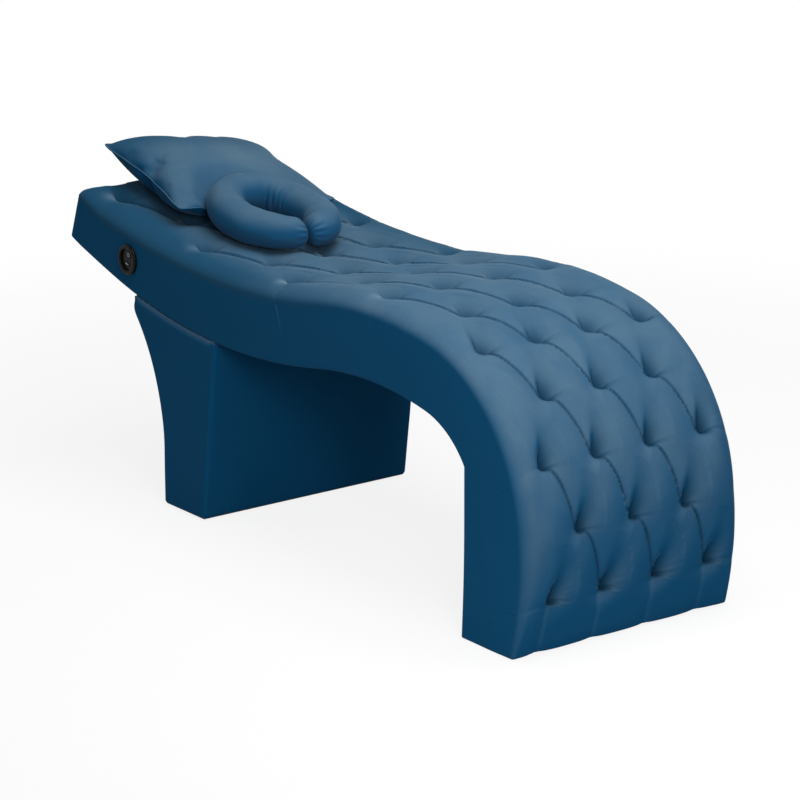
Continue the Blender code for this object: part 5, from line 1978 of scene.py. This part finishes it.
@dataclass
class Control:
    """The round control let into the near side: bezel and two keys."""

    shape: BedShape
    tilt: float = 14.0
    bezel_radius: float = 0.040
    opening: float = 0.029
    bezel_height: float = 0.009
    base: float = 0.0003
    key_front: float = 0.0045
    power_radius: float = 0.0095
    power_up: float = 0.0135
    mode_length: float = 0.022
    mode_height: float = 0.0085
    mode_down: float = 0.012
    segments: int = 64
    rim_segments: int = 96
    ring_segments: int = 48
    bar_segments: int = 32
    smooth_angle: float = 38.0
    foot_bevel: Span = (0.0012, 0.0014)
    rim_round: float = 0.004
    rim_from: float = 0.0045
    groove: Span = (0.0345, 0.0330)
    groove_depth: float = 0.0005
    groove_slope: float = 0.0004
    inner_round: Span = (0.0028, 0.0030)
    ledge: float = 0.0030
    key_foot: float = -0.0010
    power_steps: tuple[Span, ...] = (
        (0.0, -0.0012), (-0.0003, -0.0005), (-0.0009, 0.0), (-0.0020, 0.0),
        (-0.0030, -0.0004), (-0.0055, -0.0007), (-0.0080, -0.0008))
    mode_steps: tuple[Span, ...] = (
        (0.0, -0.0011), (-0.0003, -0.0004), (-0.0009, 0.0), (-0.0018, 0.0001), (-0.0030, 0.0002))
    ring_radii: Span = (0.0046, 0.0036)
    ring_heights: Span = (-0.0002, 0.00012)
    ring_sink: float = 0.0006
    bar_length: float = 0.010
    bar_profile: tuple[Span, ...] = ((0.0011, -0.0004), (0.0011, 0.0001), (0.0009, 0.00025))
    proud: float = 0.0001
    off_middle: float = 1e-7

    def seat(self) -> Matrix:
        """Place and turn of the control in the frame; its own Z points out of the side."""
        low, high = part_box("control_bezel")
        middle = (low + high) / 2
        turn = Matrix.Rotation(radians(self.tilt), 4, "Y") @ Matrix.Rotation(pi / 2, 4, "X")
        return Matrix.Translation((middle.x, -self.shape.half, middle.z)) @ turn

    def turned(self, name: str, profile: Sequence[Span], segments: int) -> Piece:
        """Draw a circle up through a profile by extruding its edge.

        Args:
            name: The piece's name.
            profile: Radius and height of each loop.
            segments: Points round the circle.

        Returns:
            The piece, still open at its first and last loop.
        """
        deselect()
        radius, height = profile[0]
        bpy.ops.mesh.primitive_circle_add(vertices=segments, radius=radius, location=(0, 0, 0))
        piece = bpy.context.active_object
        piece.name = name
        with edit_mode():
            bpy.ops.mesh.select_all(action="SELECT")
            bpy.ops.transform.translate(value=(0, 0, height))
            for wider, higher in profile[1:]:
                bpy.ops.mesh.extrude_edges_move(TRANSFORM_OT_translate={"value": (0, 0, higher - height)})
                scale = wider / radius
                bpy.ops.transform.resize(value=(scale, scale, 1), center_override=(0, 0, higher))
                radius, height = wider, higher
        return piece

    def closed(self, piece: Piece, fill: bool) -> Piece:
        """Close a turned piece, by a fill at its open loops or by merging them, and shade it."""
        make_active(piece)
        with edit_mode():
            bpy.ops.mesh.select_all(action="SELECT")
            bpy.ops.mesh.remove_doubles(threshold=SAME_PLACE)
            if fill:
                bpy.ops.mesh.select_all(action="DESELECT")
                bpy.ops.mesh.select_non_manifold()
                bpy.ops.mesh.edge_face_add()
            bpy.ops.mesh.select_all(action="SELECT")
            bpy.ops.mesh.normals_make_consistent(inside=False)
        bpy.ops.object.shade_smooth_by_angle(angle=radians(self.smooth_angle))
        return piece

    def drawn_out(self, piece: Piece, sign: int, reach: float) -> None:
        """Move one half of a turned piece sideways, which draws it out to a long form."""
        for vertex in piece.data.vertices:
            vertex.select = sign * vertex.co.x > self.off_middle
        with edit_mode():
            bpy.ops.mesh.select_mode(type="VERT")
            bpy.ops.transform.translate(value=(sign * reach, 0, 0))

    def bezel(self) -> Piece:
        """A rounded rim with a bright bevel and a groove round its opening."""
        r, top = self.bezel_radius, self.bezel_height
        drawn, rise = self.foot_bevel
        profile = [(self.opening, self.base), (r - drawn, self.base), (r, rise)]
        for step in range(ARC_STEPS + 1):
            turn = pi / 2 * step / ARC_STEPS
            high = self.rim_from + (top - self.rim_from) * sin(turn)
            profile.append((r - self.rim_round * (1 - cos(turn)), high))
        outer, inner = self.groove
        bottom = top - self.groove_depth
        profile += [(outer, top), (outer - self.groove_slope, bottom), (inner + self.groove_slope, bottom)]
        profile.append((inner, top))
        wide, deep = self.inner_round
        for step in range(ARC_STEPS):
            turn = pi / 2 * step / (ARC_STEPS - 1)
            profile.append((self.opening + wide * (1 - sin(turn)), top - deep * (1 - cos(turn))))
        profile += [(self.opening, self.ledge), (self.opening, self.base)]
        return self.closed(self.turned("control_rim", profile, self.rim_segments), fill=False)

    def key_profile(self, radius: float, steps: Sequence[Span]) -> list[Span]:
        """A key's profile from its foot up, by steps from its radius and its front."""
        front = self.key_front
        return [(radius, self.key_foot)] + [(radius + wider, front + higher) for wider, higher in steps]

    def power_key(self) -> Piece:
        """A dished round key with a raised rim."""
        profile = self.key_profile(self.power_radius, self.power_steps)
        piece = self.closed(self.turned("power_key_cap", profile, self.segments), fill=True)
        piece.data.transform(Matrix.Translation((0, self.power_up, 0)))
        return piece

    def mode_key(self) -> Piece:
        """A long key with round ends, drawn out from a turned one."""
        profile = self.key_profile(self.mode_height / 2, self.mode_steps)
        piece = self.turned("mode_key_cap", profile, self.segments)
        for sign in (-1, 1):
            self.drawn_out(piece, sign, (self.mode_length - self.mode_height) / 2)
        piece = self.closed(piece, fill=True)
        piece.data.transform(Matrix.Translation((0, -self.mode_down, 0)))
        return piece

    def marks(self) -> list[Piece]:
        """Pale print marks, a ring on the round key and a bar on the long one, set just proud; their paleness
        serves as painted glints on the keys.
        """
        outer, inner = self.ring_radii
        low, high = self.ring_heights
        profile = [(outer, low), (outer, high), (inner, high), (inner, low), (outer, low)]
        ring = self.closed(self.turned("power_key_ring", profile, self.ring_segments), fill=False)
        ring.data.transform(Matrix.Translation((0, self.power_up, self.key_front - self.ring_sink)))
        bar = self.turned("mode_key_bar", self.bar_profile, self.bar_segments)
        self.drawn_out(bar, 1, self.bar_length)
        bar = self.closed(bar, fill=True)
        place = (-self.bar_length / 2, -self.mode_down, self.key_front + self.proud)
        bar.data.transform(Matrix.Translation(place))
        return [ring, bar]

    def build(self, finishes: dict[Slot, Material], glint_print_finish: Material) -> None:
        """Model and dress the control's pieces."""
        seat = self.seat()
        ring, bar = self.marks()
        pieces = [
            (self.bezel(), finishes[Slot.GLOSS], Slot.GLOSS, Body.BED, "control_bezel"),
            (self.power_key(), finishes[Slot.KEY], Slot.KEY, Body.POWER_KEY, "power_key"),
            (self.mode_key(), finishes[Slot.KEY], Slot.KEY, Body.MODE_KEY, "mode_key"),
            # Print marks that also serve as painted glints.
            (ring, glint_print_finish, Slot.KEY, Body.POWER_KEY),
            (bar, glint_print_finish, Slot.KEY, Body.MODE_KEY),
        ]
        for piece, *looks in pieces:
            piece.data.transform(seat)
            dress(piece, *looks)


# Studio

@dataclass(frozen=True)
class Lamp:
    """A square soft lamp aimed at a point, its light spread over an angle in degrees."""

    name: str
    place: Colour
    aim: Colour
    size: float
    power: float
    spread: float = 180.0

    def build(self) -> None:
        """Hang the lamp."""
        data = bpy.data.lights.new(self.name, "AREA")
        configure(data, {"size": self.size, "energy": self.power, "spread": radians(self.spread)})
        aim_at(bpy.data.objects.new(self.name, data), self.place, Vector(self.aim) - Vector(self.place))


def aim_at(thing: Piece, place: Colour, way: Vector) -> None:
    """Set a lamp or the camera at a place and turn it a way."""
    bpy.context.scene.collection.objects.link(thing)
    thing.location = place
    thing.rotation_mode = "QUATERNION"
    thing.rotation_quaternion = way.to_track_quat("-Z", "Y")


@dataclass
class Studio:
    """Camera, pale floor and soft light."""

    camera_place: Colour = (6.736253, -5.059, 2.809)
    azimuth: float = 0.923
    elevation: float = 0.284
    focal_pixels: float = 3500.0
    image_pixels: float = 800.0
    floor_size: float = 120.0
    floor_fade: Span = (1.6, 3.4)
    floor_white: float = 0.86
    world_light: float = 0.235
    floor_drop: float = 0.0004
    floor_bounce: Colour = (0.52, 0.52, 0.52)
    floor_seen: Colour = (0.93, 0.93, 0.93)
    world_tint: Colour = (0.96, 0.98, 1.0)
    white: tuple[float, ...] = (1.0, 1.0, 1.0, 1.0)
    sensor: float = 36.0
    far_clip: float = 200.0
    lamps: tuple[Lamp, ...] = (
        Lamp("overhead", (1.0, 0.0, 3.7), (0.3, 0.0, 0.5), 2.6, 108.0),
        Lamp("knee side", (3.3, -1.7, 1.9), (0.95, 0.0, 0.4), 1.0, 10.5, 75.0),
    )

    def camera(self) -> None:
        """Set the camera at the photograph's place."""
        data = bpy.data.cameras.new("camera")
        lens = self.sensor * self.focal_pixels / self.image_pixels
        configure(data, {"sensor_width": self.sensor, "lens": lens, "clip_end": self.far_clip})
        made = bpy.data.objects.new("camera", data)
        level = cos(self.elevation)
        back = (sin(self.azimuth) * level, -cos(self.azimuth) * level, sin(self.elevation))
        aim_at(made, self.camera_place, -Vector(back))
        bpy.context.scene.camera = made

    def seen_directly(self, w: Wiring) -> Socket:
        """1 for rays from the camera and those mirrored or let through by the object."""
        path = w.add("ShaderNodeLightPath")
        both = w.math("MAXIMUM", path.outputs["Is Camera Ray"], path.outputs["Is Glossy Ray"])
        return w.math("MAXIMUM", both, path.outputs["Is Transmission Ray"])

    def floor(self) -> None:
        """A pale floor that keeps the shadow and fades to plain white further off."""
        deselect()
        bpy.ops.mesh.primitive_plane_add(size=self.floor_size, location=(0, 0, -self.floor_drop))
        plane = bpy.context.active_object
        plane.name = "floor"
        made = bpy.data.materials.new("pale floor")
        made.use_nodes = True
        w = Wiring(made.node_tree)
        seen = self.seen_directly(w)
        diffuse = w.add("ShaderNodeBsdfDiffuse")
        w.link(w.mix(seen, self.floor_bounce, self.floor_seen), diffuse.inputs["Color"])
        white = w.add("ShaderNodeEmission")
        white.inputs["Color"].default_value = self.white
        reach = w.add("ShaderNodeVectorMath", operation="LENGTH")
        w.link(w.coordinate(), reach.inputs[0])
        fade = w.span(reach.outputs["Value"], self.floor_fade, (self.floor_white, 1.0))
        share = w.math("MULTIPLY", fade, seen)
        mixed = w.mix_shaders(share, diffuse.outputs["BSDF"], white.outputs["Emission"])
        w.link(mixed, w.add("ShaderNodeOutputMaterial").inputs["Surface"])
        plane.data.materials.append(made)

    def world(self) -> None:
        """Even light from all round, and plain white where it is seen."""
        world = bpy.data.worlds.new("studio")
        bpy.context.scene.world = world
        world.use_nodes = True
        w = Wiring(world.node_tree)
        light, white = w.add("ShaderNodeBackground"), w.add("ShaderNodeBackground")
        w.fill(light, {"Color": (*self.world_tint, 1.0), "Strength": self.world_light})
        white.inputs["Color"].default_value = self.white
        mixed = w.mix_shaders(self.seen_directly(w), light.outputs["Background"], white.outputs["Background"])
        w.link(mixed, w.add("ShaderNodeOutputWorld").inputs["Surface"])

    def build(self) -> None:
        """Set up the studio."""
        self.camera()
        self.floor()
        self.world()
        for lamp in self.lamps:
            lamp.build()
        bpy.context.scene.view_settings.view_transform = "Standard"


def dress_inner_nodes(finishes: dict[Slot, Material]) -> None:
    """Give every node of the frame its finish; those that a piece replaces are hidden later."""
    for node in frame["nodes"].values():
        slot = Slot(node.data.materials[0].name.split(".")[0])
        node.data.materials[0] = finishes[slot]


def main() -> None:
    """Build the bed's pieces in order."""
    logging.basicConfig(level=logging.INFO, format="%(message)s")
    shape = BedShape()
    effects = Effects()
    finishes = {slot: finish.build(effects) for slot, finish in FINISHES.items()}
    velvet = (finishes[Slot.VELVET], Slot.VELVET)
    dress_inner_nodes(finishes)

    body = TuftedBody(shape).build()
    covers = ("tufted_cover", "side_cover_near", "side_cover_far", "head_cover")
    dress(body, *velvet, Body.BED, *covers)
    dress(TuftButtons(shape).build(), *velvet, Body.BED)
    belly, inner = UnderCovers(shape).build()
    dress(belly, *velvet, Body.BED, "belly_panel")
    dress(inner, *velvet, Body.BED, "leg_inner_panel")
    sleeve = PedestalSleeve(shape).build()
    dress(sleeve, *velvet, Body.BED, "pedestal_cover")

    neck = NeckPillow(shape)
    cushion, piping = HeadPillow(shape, neck).build()
    dress(cushion, *velvet, Body.HEAD_PILLOW, "head_pillow")
    dress(piping, *velvet, Body.HEAD_PILLOW)
    tube = neck.build()
    dress(tube, *velvet, Body.NECK_PILLOW, "neck_pillow")

    Control(shape).build(finishes, PRINT_PAINTED_AS_GLINT.build(effects))
    Studio().build()


if __name__ == "__main__":
    main()
